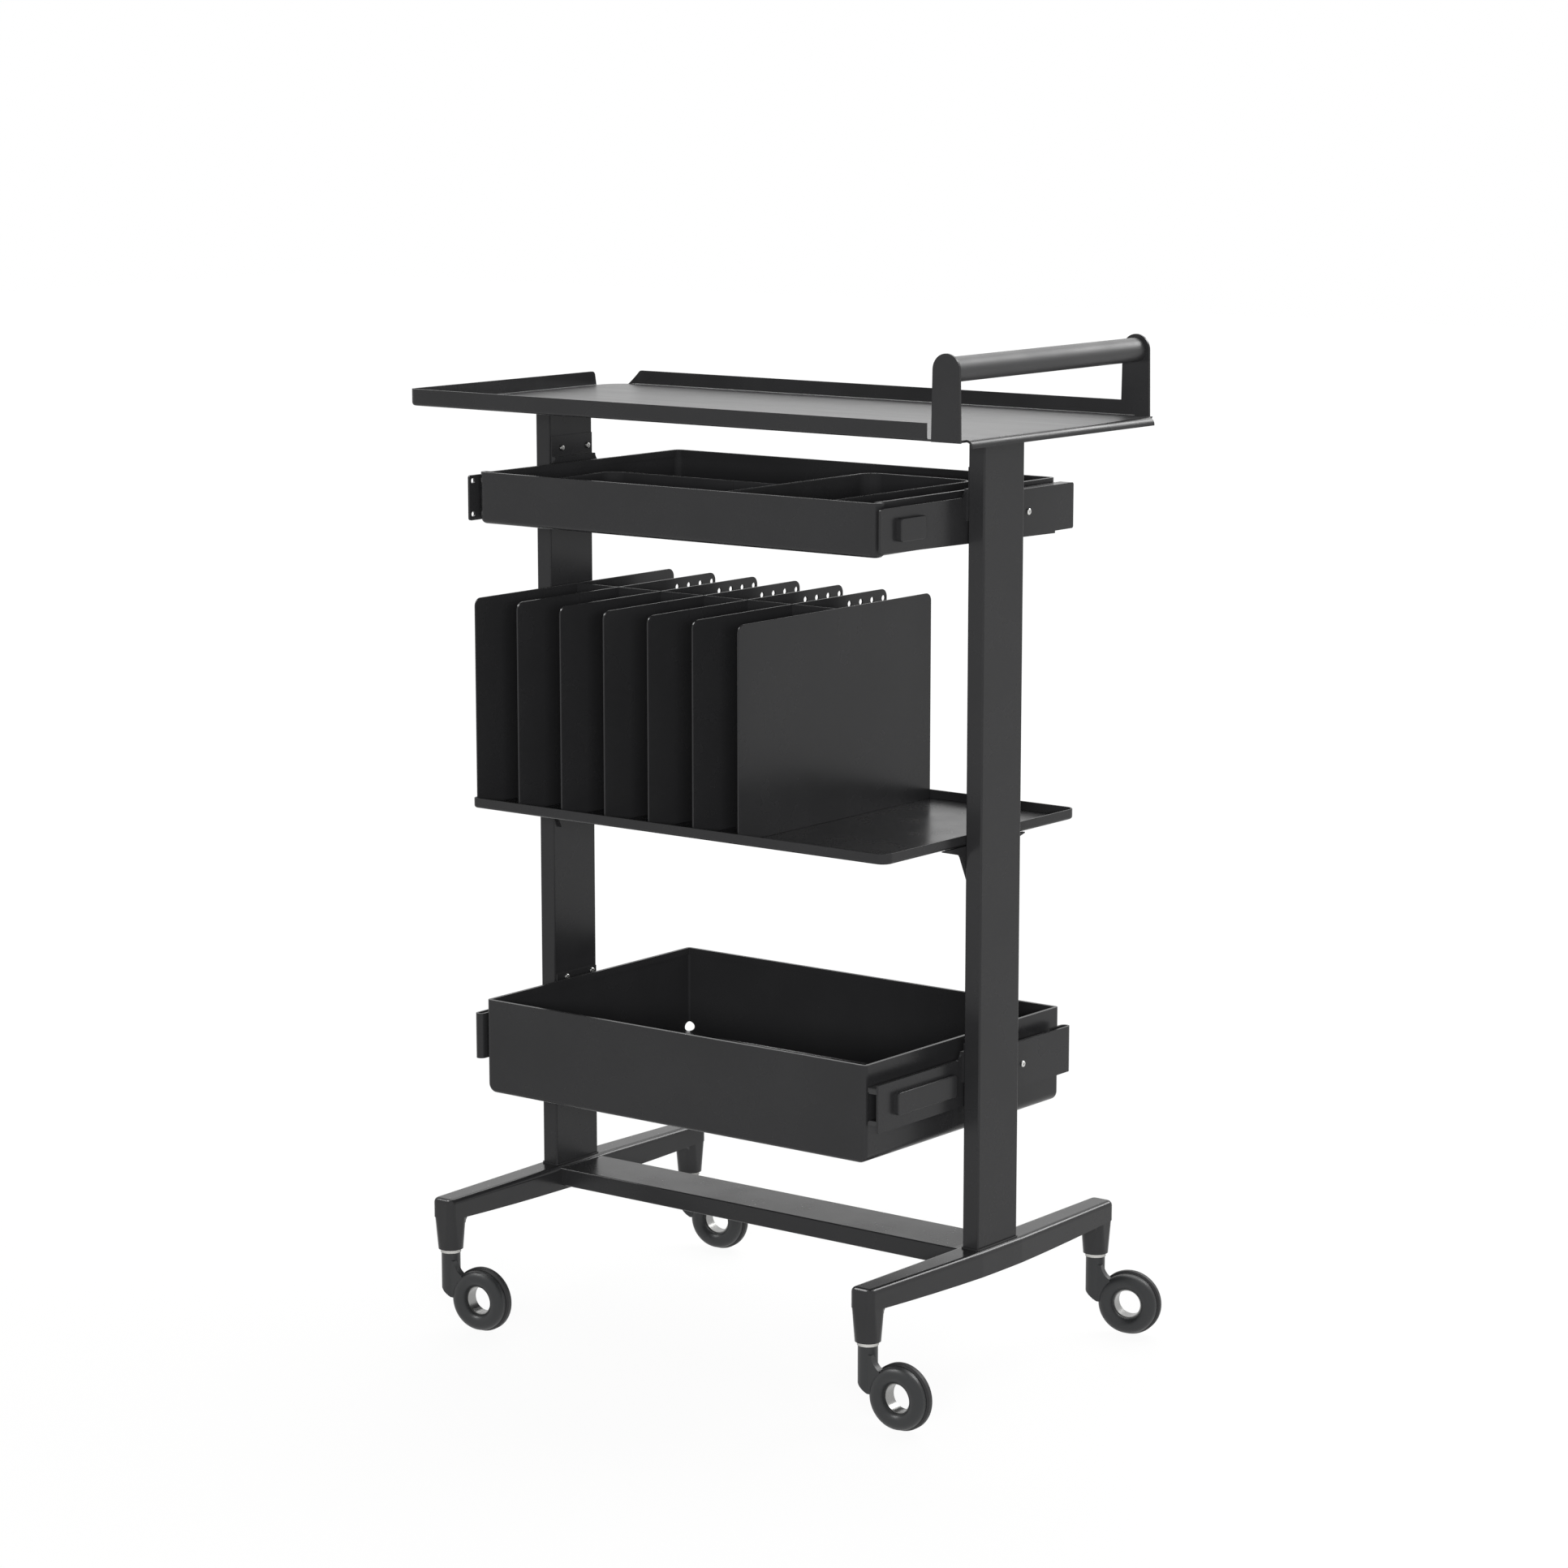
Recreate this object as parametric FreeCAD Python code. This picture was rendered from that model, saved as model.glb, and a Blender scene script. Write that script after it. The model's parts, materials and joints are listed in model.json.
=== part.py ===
"""Salon trolley: two posts on cast feet with casters, a handled tray, two drawers, a shelf and a rack."""
import FreeCAD, Part
import os

V = FreeCAD.Vector

# Frame: X along the length, Y from front to back, Z up, origin on the floor midway between the posts.

# Posts and beam, all of one rectangular tube section
post_spacing = 462.0
post_width = 16.0
post_depth = 57.0
post_wall = 1.2
post_corner = 1.5
post_cap_thick = 2.5
spigot_clear = 0.2
spigot_height = 40.0

# Feet
foot_width = 27.0
foot_tip_width = 23.0
foot_top = 117.5
foot_thick_mid = 22.0
foot_thick_end = 17.5
foot_corner = 6.0
foot_edge_round = 4.5
socket_reach = 167.0
socket_inset = 3.5
socket_bottom = 71.0
socket_bottom_half = 10.6
socket_bottom_corner = 9.8
socket_margin = 0.15
socket_sink = 3.0
socket_blend = 7.0
collar_margin = 1.2
collar_height = 1.5
beam_drop = 1.8
beam_stub = 5.0

# Casters
wheel_radius = 28.3
caster_trail = 31.0
stem_radius = 8.3
stem_bevel_rise = 9.0
stem_bevel_reach = 12.5
pin_radius = 5.0
pin_clear = 0.05
pin_length = 36.0
pin_end_gap = 2.0
washer_thick = 3.0
washer_radius = 9.0
washer_clear = 0.3
cover_radius = 26.4
cover_depth = 9.0
cover_step = 3.5
neck_inset = 2.0
neck_top_rise = 33.0
neck_bow_rise = 26.0
neck_bow_out = 1.8
neck_end_rise = 21.0
neck_end_inset = 15.5
neck_foot_inset = 14.0
hub_radius = 15.6
hub_bore = 12.6
hub_length = 8.2
sleeve_wall = 0.9
sleeve_inset = 1.0
clip_radius = 18.0
clip_thick = 1.2
rim_radius = 21.5
wheel_side_gap = 0.4
wheel_run_clear = 0.05
tyre_chamfer = 1.6
well_clear = 0.8
caster_angles = {"front_left": 7.0, "front_right": 2.0, "back_left": 8.0, "back_right": 14.0}

# Lower drawer level, and the heights that stand on it
lower_slide_height = 258.5
lower_rail_above_floor = 48.5
lower_drawer_depth = 82.5
shelf_above_drawer = 167.0
rack_height = 180.5
upper_slide_above_rack = 86.5
upper_rail_above_floor = 21.5
upper_drawer_depth = 44.0
tray_above_slide = 75.0

# Top tray and handle
tray_sheet = 2.0
tray_lip = 14.5
tray_left_overhang = 55.0
tray_right_overhang = 59.5
tray_half_depth = 140.0
tray_corner = 7.0
tray_back_corner = 26.0
tray_bend = 3.0
roll_radius = 6.0
roll_tail = 0.7
roll_front = -127.0
roll_back = 133.5
left_lip_end = 108.0
left_lip_lean = 2.5
lip_end_round = 4.0
back_lip_gap = 16.0
back_lip_lean = 13.0
front_plate_inset = 11.0
rear_plate_inset = 16.5
front_lip_gap = 5.0
handle_rise = 54.5
handle_plate_base = 28.0
handle_plate_top = 26.0
handle_radius = 10.0
handle_wall = 1.5

# Middle shelf, its brackets and the rack on it
sheet = 1.5
shelf_lip = 9.0
shelf_side_gap = 1.5
shelf_half_depth = 138.0
shelf_corner = 10.0
shelf_rack_corner = 5.0
shelf_bend = 2.5
bracket_thick = 3.0
bracket_leg = 33.0
bracket_flat_half = 40.0
bracket_tip_half = 58.0
bracket_tip_edge = 1.0
bracket_elbow_half = 34.0
bracket_elbow_drop = 6.7
bracket_elbow_round = 5.0
bracket_foot_half = 21.0
bracket_drop = 34.0
rack_inset = 3.0
rack_length = 288.0
rack_corner = 7.0
rack_bays = 6
rack_slot_clear = 0.15
divider_hole_radius = 2.6
divider_hole_drop = 8.0
divider_hole_pitch = 16.4
divider_hole_first = 81.0
divider_holes = 4

# Slides and their housings
housing_thick = 2.0
housing_seat = 3.0
slide_space = 13.0
housing_open_end = -144.0
upper_right_end = 129.0
upper_left_end = 139.5
upper_plate_above = 19.0
upper_plate_below = 16.5
upper_plate_taper = 5.0
upper_end_step = 2.0
upper_end_step_length = 27.0
upper_end_round = 2.0
top_fold_width = 10.5
lower_right_end = 136.0
lower_left_end = 141.0
lower_plate_half = 20.0
curl_radius = 4.5
curl_return = 16.0
upper_ear_rise = 25.0
lower_ear_rise = 14.0
ear_thick = 1.2
ear_flare = 7.0
upper_ear_screw_rise = 14.0
lower_ear_screw_rise = 10.0
ear_screw_half_pitch = 17.2
ear_screw_shift = -3.2
pad_front = -122.5
pad_proud = 4.8
upper_pad_length = 34.5
lower_pad_length = 83.0
pad_height = 19.0
pad_rise = 1.0
pad_corner = 3.0
pad_edge_round = 1.0
accessory_hole_radius = 2.3
accessory_hole_pitch = 28.5
accessory_hole_inset = 4.5
channel_sheet = 1.2
channel_depth = 11.5
channel_half_height = 16.0
lower_channel_front = -140.0
upper_channel_front = -126.0
channel_back = 112.0
mouth_gap = 1.2
runner_gap = 0.3
rail_half_height = 11.0
rail_depth = 5.5
rail_half_length = 110.0
slide_screw_y = 62.0

# Drawers
upper_drawer_corner = 7.0
upper_drawer_bend = 5.0
lower_drawer_corner = 3.5
lower_drawer_bend = 8.0
hem_width = 3.0
hem_height = 6.0
front_panel_margin = 6.0
front_panel_return = 10.0
upper_drawer_front = -137.0
upper_drawer_back = 126.0
lower_drawer_front = -141.0
lower_drawer_back = 139.0
relief_radius = 4.5
relief_height = 8.5
bin_sheet = 2.0
bin_corner = 16.0
bin_below_rim = 1.5
left_bin_left = -135.0
left_bin_back = -50.0
right_bin_left = 46.0
right_bin_right = 158.0
right_bin_back = 75.0

# Screws
screw_radius = 1.5
screw_hole_clear = 0.2
screw_head_radius = 2.75
screw_head_crown = 1.9
screw_head_height = 1.6
screw_length = 7.0
slide_screw_length = 4.0
bracket_screw_drop = 25.0
bracket_screw_half_pitch = 13.0

# How far a cutting shape passes the face it cuts
past = 1.0

# Places along X that follow
post_x = post_spacing / 2
post_inner = post_x - post_width / 2
foot_inner = post_x - foot_width / 2
beam_end = foot_inner - beam_stub
socket_x = post_x - socket_inset
housing_outer = post_inner - housing_seat
housing_inner = housing_outer - housing_thick
drawer_half_length = housing_inner - slide_space
shelf_half_length = post_inner - shelf_side_gap
rack_left = rack_inset - shelf_half_length
rack_right = rack_left + rack_length
tray_left = -post_x - tray_left_overhang
tray_right = post_x + tray_right_overhang
front_plate_x = tray_right - front_plate_inset
rear_plate_x = tray_right - rear_plate_inset
front_lip_end = front_plate_x - handle_plate_base / 2 - front_lip_gap

# Places along Y that follow
foot_half_length = socket_reach + foot_tip_width / 2
ear_half_width = post_depth / 2 - post_corner
front_panel_back = upper_drawer_front + front_panel_return
rack_half_depth = shelf_half_depth - rack_inset

# Heights that follow
post_foot = foot_top + collar_height
beam_top = foot_top - beam_drop
stem_top = socket_bottom - washer_thick - washer_clear
lower_drawer_bottom = lower_slide_height - lower_rail_above_floor
lower_drawer_top = lower_drawer_bottom + lower_drawer_depth
shelf_bottom = lower_drawer_top + shelf_above_drawer
shelf_floor = shelf_bottom + sheet
shelf_lip_top = shelf_bottom + shelf_lip
rack_top = shelf_floor + rack_height
rack_lap = (shelf_floor + rack_top) / 2
upper_slide_height = rack_top + upper_slide_above_rack
upper_drawer_bottom = upper_slide_height - upper_rail_above_floor
upper_drawer_top = upper_drawer_bottom + upper_drawer_depth
upper_plate_top = upper_slide_height + upper_plate_above
lower_plate_top = lower_slide_height + lower_plate_half
upper_ear_screw_z = upper_plate_top + upper_ear_screw_rise
lower_ear_screw_z = lower_plate_top + lower_ear_screw_rise
tray_bottom = upper_slide_height + tray_above_slide
tray_floor = tray_bottom + tray_sheet
tray_lip_top = tray_bottom + tray_lip
handle_height = tray_floor + handle_rise
post_head = tray_bottom - post_cap_thick

# Running sizes of the slides that follow
channel_mouth = rail_half_height + mouth_gap
runner_inner = rail_half_height + runner_gap


def box(x0, x1, y0, y1, z0, z1):
    """A plain block between two corners."""
    return Part.makeBox(x1 - x0, y1 - y0, z1 - z0, V(x0, y0, z0))


def edges_along(shape, direction):
    """Straight edges of a shape that run along a direction."""
    found = []
    for edge in shape.Edges:
        if isinstance(edge.Curve, Part.Line) and abs(edge.Curve.Direction.dot(direction)) > 0.999:
            found.append(edge)
    return found


def edges_at_height(shape, z):
    """Edges of a shape that lie wholly at one height."""
    return [e for e in shape.Edges if abs(e.BoundBox.ZMin - z) < 1e-4 and abs(e.BoundBox.ZMax - z) < 1e-4]


def round_box(x0, x1, y0, y1, z0, z1, radius, direction=V(0, 0, 1)):
    """A block whose edges along one direction are rounded."""
    block = box(x0, x1, y0, y1, z0, z1)
    return block.makeFillet(radius, edges_along(block, direction))


def prism(points, vector):
    """A polygon carried along a vector."""
    wire = Part.makePolygon(points + [points[0]])
    return Part.Face(wire).extrude(vector)


def cylinder(radius, start, vector):
    """A round bar from a start point along a vector."""
    return Part.makeCylinder(radius, vector.Length, start, vector)


def pan_tray(block, thick, bend):
    """An open pan with bent bottom edges, hollowed from a block."""
    floor_z = block.BoundBox.ZMin
    rim_z = block.BoundBox.ZMax
    bent = block.makeFillet(bend, edges_at_height(block, floor_z))
    top = [f for f in bent.Faces if abs(f.BoundBox.ZMin - rim_z) < 1e-4]
    return bent.makeThickness(top, -thick, 1e-4)


def turned_half(shape):
    """The same shape turned half a turn about the upright axis."""
    copy = shape.copy()
    copy.rotate(V(0, 0, 0), V(0, 0, 1), 180)
    return copy


def post_block(side, margin, z0, z1, radius):
    """A block on a post's centre line, larger or smaller than the post by a margin."""
    x = side * post_x
    half_w = post_width / 2 + margin
    half_d = post_depth / 2 + margin
    return round_box(x - half_w, x + half_w, -half_d, half_d, z0, z1, radius)


def ear_screw_places(z):
    """Depth and height of the two screws in the ear of a right housing."""
    return [(ear_screw_shift - ear_screw_half_pitch, z), (ear_screw_shift + ear_screw_half_pitch, z)]


def bracket_screw_places():
    """Depth and height of the two screws in a shelf bracket."""
    z = shelf_bottom - bracket_screw_drop
    return [(-bracket_screw_half_pitch, z), (bracket_screw_half_pitch, z)]


def post(side):
    """Upright tube with clearance holes for the screws that enter its inner wall."""
    outer = post_block(side, 0, post_foot, post_head, post_corner)
    tube = outer.cut(post_block(side, -post_wall, post_foot, post_head, post_corner - post_wall))
    places = ear_screw_places(upper_ear_screw_z) + ear_screw_places(lower_ear_screw_z)
    places += bracket_screw_places()
    for y, z in places:
        start = V(side * (post_inner - past), side * y, z)
        hole = cylinder(screw_radius + screw_hole_clear, start, V(side * (post_wall + 2 * past), 0, 0))
        tube = tube.cut(hole)
    return tube


def post_cap(side):
    """Plate that closes the top of a post under the tray."""
    return post_block(side, 0, post_head, tray_bottom, post_corner)


def foot_plan(z):
    """Level outline of the right foot, straight at the post and narrower towards its tips."""
    near = foot_inner
    far = foot_inner + foot_width
    near_tip = socket_x - foot_tip_width / 2
    far_tip = socket_x + foot_tip_width / 2
    seat = post_depth / 2
    end = foot_half_length
    outer = [V(far_tip, -end, z), V(far, -seat, z), V(far, seat, z), V(far_tip, end, z)]
    inner = [V(near_tip, end, z), V(near, seat, z), V(near, -seat, z), V(near_tip, -end, z)]
    return outer + inner


def foot_bar():
    """Rounded bar with an arched underside."""
    end = foot_half_length
    low = foot_top - foot_thick_mid - past
    under_end = foot_top - foot_thick_end
    plan = prism(foot_plan(low), V(0, 0, foot_top - low))
    tips = [e for e in edges_along(plan, V(0, 0, 1)) if abs(abs(e.BoundBox.YMin) - end) < 1e-4]
    plan = plan.makeFillet(foot_corner, tips)
    near = foot_inner - foot_width / 2
    feet = [V(near, -end - past, under_end), V(near, end + past, under_end)]
    arch = Part.Arc(feet[0], V(near, 0, foot_top - foot_thick_mid), feet[1]).toShape()
    rise = V(0, 0, foot_thick_end + past)
    rest = Part.makePolygon([feet[1], feet[1] + rise, feet[0] + rise, feet[0]])
    side_view = Part.Face(Part.Wire([arch] + rest.Edges))
    bar = plan.common(side_view.extrude(V(2 * foot_width, 0, 0)))
    return bar.makeFillet(foot_edge_round, edges_at_height(bar, foot_top))


def square_wire(x, y, z, half, corner):
    """Outline of a level square with rounded corners."""
    block = round_box(x - half, x + half, y - half, y + half, z, z + past, corner)
    floor = [f for f in block.Faces if f.BoundBox.ZMax < z + 1e-4]
    return floor[0].OuterWire


def foot_socket(y):
    """Caster socket that goes from the tip's outline to nearly round, blended into the bar's underside."""
    x = socket_x
    under = foot_top - foot_thick_end
    high = under + socket_sink
    top_half = foot_tip_width / 2 - socket_margin
    low_wire = square_wire(x, y, socket_bottom, socket_bottom_half, socket_bottom_corner)
    high_wire = square_wire(x, y, high, top_half, foot_corner)
    socket = Part.makeLoft([low_wire, high_wire], True, True)
    inward = -1 if y > 0 else 1
    wall = y + inward * (top_half - past)
    middle = wall + inward * socket_blend
    half = top_half - foot_corner / 2
    blend = box(x - half, x + half, min(wall, middle), max(wall, middle), under - socket_blend, high)
    start = V(x - half - past, middle, under - socket_blend - past / 2)
    return socket.fuse(blend.cut(cylinder(socket_blend, start, V(2 * half + 2 * past, 0, 0))))


def foot(side):
    """Cast foot: arched bar with two sockets and a seat for post and beam."""
    sockets = [foot_socket(y) for y in (-socket_reach, socket_reach)]
    collar = post_block(1, collar_margin, foot_top - past, post_foot, post_corner + collar_margin)
    spigot_margin = -post_wall - spigot_clear
    spigot = post_block(1, spigot_margin, foot_top, post_foot + spigot_height, post_corner - post_wall)
    stub = beam_block(beam_end, post_x, 0, post_corner)
    casting = foot_bar().fuse(sockets + [collar, spigot, stub]).removeSplitter()
    depth = stem_top + pin_length + pin_end_gap - socket_bottom
    for y in (-socket_reach, socket_reach):
        start = V(socket_x, y, socket_bottom - past)
        casting = casting.cut(cylinder(pin_radius + pin_clear, start, V(0, 0, depth + past)))
    return casting if side > 0 else turned_half(casting)


def beam_block(x0, x1, margin, radius):
    """A block on the beam's centre line, smaller than the beam by a margin."""
    half_d = post_depth / 2 - margin
    low = beam_top - post_width + margin
    return round_box(x0, x1, -half_d, half_d, low, beam_top - margin, radius, V(1, 0, 0))


def cross_beam():
    """Flat tube between the feet."""
    inner = beam_block(-beam_end, beam_end, post_wall, post_corner - post_wall)
    return beam_block(-beam_end, beam_end, 0, post_corner).cut(inner)


def handle_plate(x, y):
    """Tapered plate with a round top that carries one end of the handle."""
    half_base = handle_plate_base / 2
    half_top = handle_plate_top / 2
    depth = V(0, tray_sheet, 0)
    points = [
        V(x - half_base, y, tray_bottom),
        V(x + half_base, y, tray_bottom),
        V(x + half_top, y, handle_height),
        V(x - half_top, y, handle_height),
    ]
    return prism(points, depth).fuse(cylinder(half_top, V(x, y, handle_height), depth))


def rolled_edge():
    """The right edge of the tray, rolled down over a quarter turn."""
    inner = roll_radius - tray_sheet
    middle = V(tray_right, roll_front, tray_floor - roll_radius)
    diagonal = V(1, 0, 1).normalize()
    tip = V(0, 0, -roll_tail)
    outer_end = middle + V(roll_radius, 0, 0)
    inner_end = middle + V(inner, 0, 0)
    outer_arc = Part.Arc(middle + V(0, 0, roll_radius), middle + diagonal * roll_radius, outer_end)
    inner_arc = Part.Arc(inner_end, middle + diagonal * inner, middle + V(0, 0, inner))
    tail = Part.makePolygon([outer_end, outer_end + tip, inner_end + tip, inner_end])
    root = Part.makeLine(middle + V(0, 0, inner), middle + V(0, 0, roll_radius))
    profile = Part.Wire([outer_arc.toShape()] + tail.Edges + [inner_arc.toShape(), root])
    return Part.Face(profile).extrude(V(0, roll_back - roll_front, 0))


def corner_edge(shape, x, y):
    """The upright edge of a shape at one plan corner."""
    upright = edges_along(shape, V(0, 0, 1))
    return [e for e in upright if abs(e.BoundBox.XMin - x) < 1e-4 and abs(e.BoundBox.YMin - y) < 1e-4]


def tray_lip_cuts():
    """Shapes that take the lips away at the right end and at the back left corner."""
    above = tray_lip_top + past
    back = tray_half_depth + past
    far = tray_right + 2 * tray_corner
    inside = tray_half_depth - tray_bend - tray_sheet
    outside = tray_left - past
    lean_start = tray_left + back_lip_gap
    back_end = [
        V(outside, inside, tray_floor), V(lean_start, inside, tray_floor),
        V(lean_start + back_lip_lean, inside, above), V(outside, inside, above),
    ]
    left_end = [
        V(outside, left_lip_end, tray_floor), V(outside, left_lip_end - left_lip_lean, above),
        V(outside, back, above), V(outside, back, tray_floor),
    ]
    return [
        box(tray_right, far, -back, back, tray_bottom - past, above),
        box(front_lip_end, far, -back, 0, tray_floor, above),
        box(rear_plate_x, far, 0, back, tray_floor, above),
        prism(back_end, V(0, back - inside, 0)),
        prism(left_end, V(back_lip_gap + past, 0, 0)),
    ]


def lip_tips(tray):
    """Edges at the free top corners of the left and the back lip."""
    tips = []
    for edge in edges_along(tray, V(1, 0, 0)) + edges_along(tray, V(0, 1, 0)):
        place = edge.BoundBox
        if edge.Length < 2 * tray_sheet and place.ZMin > tray_lip_top - 1e-4 and place.YMin > 0:
            tips.append(edge)
    return [e for e in tips if e.BoundBox.XMax < 0]


def top_tray():
    """Folded tray: lips at front, left and back, none at the back left corner, rolled at the right."""
    far = tray_right + tray_corner
    block = box(tray_left, far, -tray_half_depth, tray_half_depth, tray_bottom, tray_lip_top)
    block = block.makeFillet(tray_corner, corner_edge(block, tray_left, -tray_half_depth))
    block = block.makeFillet(tray_back_corner, corner_edge(block, tray_left, tray_half_depth))
    tray = pan_tray(block, tray_sheet, tray_bend).cut(tray_lip_cuts())
    tray = tray.makeFillet(lip_end_round, lip_tips(tray))
    front = handle_plate(front_plate_x, -tray_half_depth)
    rear = handle_plate(rear_plate_x, tray_half_depth - tray_sheet)
    return tray.fuse([front, rear, rolled_edge()]).removeSplitter()


def handle_tube():
    """Round tube between the two handle plates."""
    half = tray_half_depth - tray_sheet
    middle = V((front_plate_x + rear_plate_x) / 2, 0, handle_height)
    along = V(rear_plate_x - front_plate_x, 2 * half, 0)
    longer = along * (1 + handle_radius / half)
    tube = cylinder(handle_radius, middle - longer / 2, longer)
    tube = tube.cut(cylinder(handle_radius - handle_wall, middle - longer / 2, longer))
    reach = handle_plate_base
    return tube.common(
        box(middle.x - reach, middle.x + reach, -half, half, handle_height - reach, handle_height + reach)
    )


def middle_shelf():
    """Shallow pan between the posts, its corners tighter at the rack's end."""
    end = shelf_half_length
    depth = shelf_half_depth
    block = box(-end, end, -depth, depth, shelf_bottom, shelf_lip_top)
    for y in (-depth, depth):
        block = block.makeFillet(shelf_corner, corner_edge(block, end, y))
        block = block.makeFillet(shelf_rack_corner, corner_edge(block, -end, y))
    return pan_tray(block, sheet, shelf_bend)


def bracket_plate():
    """A bracket's upright leg: thin tips under the shelf, rounded elbows and a tapered foot."""
    x = post_inner - bracket_thick
    outline = [
        (bracket_tip_half, 0), (bracket_tip_half, bracket_tip_edge),
        (bracket_elbow_half, bracket_elbow_drop), (bracket_foot_half, bracket_drop),
    ]
    points = [V(x, y, shelf_bottom - drop) for y, drop in outline]
    points += [V(x, -y, shelf_bottom - drop) for y, drop in reversed(outline)]
    plate = prism(points, V(bracket_thick, 0, 0))
    elbow_z = shelf_bottom - bracket_elbow_drop
    elbows = [e for e in edges_along(plate, V(1, 0, 0)) if abs(e.BoundBox.ZMin - elbow_z) < 1e-4]
    return plate.makeFillet(bracket_elbow_round, elbows)


def shelf_bracket(side):
    """Angle bracket: an upright leg on the post and a flat leg under the shelf."""
    flat = box(
        post_inner - bracket_leg, post_inner, -bracket_flat_half, bracket_flat_half,
        shelf_bottom - bracket_thick, shelf_bottom,
    )
    bracket = bracket_plate().fuse(flat).removeSplitter()
    reach = V(bracket_thick + 2 * past, 0, 0)
    for y, z in bracket_screw_places():
        start = V(post_inner - bracket_thick - past, y, z)
        bracket = bracket.cut(cylinder(screw_radius + screw_hole_clear, start, reach))
    return bracket if side > 0 else turned_half(bracket)


def rack_sheet(x):
    """Upright sheet across the shelf with rounded top corners."""
    block = box(x, x + sheet, -rack_half_depth, rack_half_depth, shelf_floor, rack_top)
    top = [e for e in edges_along(block, V(1, 0, 0)) if abs(e.BoundBox.ZMin - rack_top) < 1e-4]
    return block.makeFillet(rack_corner, top)


def divider_x(number):
    """Left face of a divider, the bays being equal."""
    pitch = (rack_length - sheet) / rack_bays
    return rack_left + pitch * number


def rack_divider(number):
    """Divider with a slot for the spine and a row of holes near its rear top corner."""
    x = divider_x(number)
    plate = rack_sheet(x)
    half_slot = sheet / 2 + rack_slot_clear
    plate = plate.cut(box(x - past, x + sheet + past, -half_slot, half_slot, rack_lap, rack_top + past))
    for i in range(divider_holes):
        start = V(x - past, divider_hole_first + divider_hole_pitch * i, rack_top - divider_hole_drop)
        plate = plate.cut(cylinder(divider_hole_radius, start, V(sheet + 2 * past, 0, 0)))
    return plate


def rack_spine():
    """Long sheet along the rack, slotted from below over the dividers."""
    spine = box(rack_left + sheet, rack_right - sheet, -sheet / 2, sheet / 2, shelf_floor, rack_top)
    for number in range(1, rack_bays):
        x0 = divider_x(number) - rack_slot_clear
        x1 = divider_x(number) + sheet + rack_slot_clear
        spine = spine.cut(box(x0, x1, -sheet, sheet, shelf_floor - past, rack_lap))
    return spine


def housing_ear(plate_top, rise):
    """Flared root above a housing's plate, set back to a thin ear that lies on the post."""
    wide = ear_half_width + ear_flare
    root_top = plate_top + ear_flare
    x = housing_inner
    root = box(x, housing_outer, -wide, wide, plate_top - past, root_top)
    for y in (-wide, wide):
        root = root.cut(cylinder(ear_flare, V(x - past, y, root_top), V(housing_thick + 2 * past, 0, 0)))
    half = ear_half_width
    seat = box(housing_outer, post_inner, -half, half, plate_top - upper_plate_above, root_top)
    ear = box(post_inner - ear_thick, post_inner, -half, half, root_top - past, plate_top + rise)
    return root.fuse([seat, ear])


def housing_pad(height, length):
    """Raised pad on the outer face of a housing."""
    z = height + pad_rise
    half = pad_height / 2
    face = housing_outer + pad_proud
    pad = round_box(
        housing_outer - housing_thick / 2, face, pad_front, pad_front + length,
        z - half, z + half, pad_corner, V(1, 0, 0),
    )
    return pad.makeFillet(pad_edge_round, [e for e in pad.Edges if e.BoundBox.XMin > face - 1e-4])


def housing_screw_holes(housing, ear_screw_z, slide_height):
    """Clearance holes for the ear screws and the slide screw."""
    radius = screw_radius + screw_hole_clear
    reach = V(post_inner - housing_inner + 2 * past, 0, 0)
    for y, z in ear_screw_places(ear_screw_z):
        housing = housing.cut(cylinder(radius, V(housing_inner - past, y, z), reach))
    return housing.cut(cylinder(radius, V(housing_inner - past, slide_screw_y, slide_height), reach))


def upper_plate(end):
    """Long upright plate, deeper towards its closed end, where its lower edge steps up again."""
    height = upper_slide_height
    low_open = height - upper_plate_below
    low_closed = low_open - upper_plate_taper
    low_end = low_closed + upper_end_step
    step_y = end - upper_end_step_length
    x = housing_inner
    points = [
        V(x, housing_open_end, low_open), V(x, housing_open_end, upper_plate_top), V(x, end, upper_plate_top),
        V(x, end, low_end), V(x, step_y, low_end), V(x, step_y, low_closed),
    ]
    plate = prism(points, V(housing_thick, 0, 0))
    across = edges_along(plate, V(1, 0, 0))
    tips = [e for e in across if e.BoundBox.YMin < housing_open_end + 1e-4 or e.BoundBox.YMin > end - 1e-4]
    return plate.makeFillet(upper_end_round, tips)


def upper_housing(side):
    """Housing with flat ends: a top fold on the right one, two accessory holes on the left one."""
    end = upper_right_end if side > 0 else upper_left_end
    pieces = [housing_ear(upper_plate_top, upper_ear_rise), housing_pad(upper_slide_height, upper_pad_length)]
    if side > 0:
        fold_end = end - upper_end_round
        pieces.append(
            box(
                housing_inner - top_fold_width, housing_outer, post_depth / 2, fold_end,
                upper_plate_top - sheet, upper_plate_top,
            )
        )
    housing = upper_plate(end).fuse(pieces).removeSplitter()
    housing = housing_screw_holes(housing, upper_ear_screw_z, upper_slide_height)
    if side > 0:
        return housing
    for dz in (-accessory_hole_pitch / 2, accessory_hole_pitch / 2):
        start = V(housing_inner - past, end - accessory_hole_inset, upper_slide_height + dz)
        housing = housing.cut(cylinder(accessory_hole_radius, start, V(housing_thick + 2 * past, 0, 0)))
    return turned_half(housing)


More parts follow.
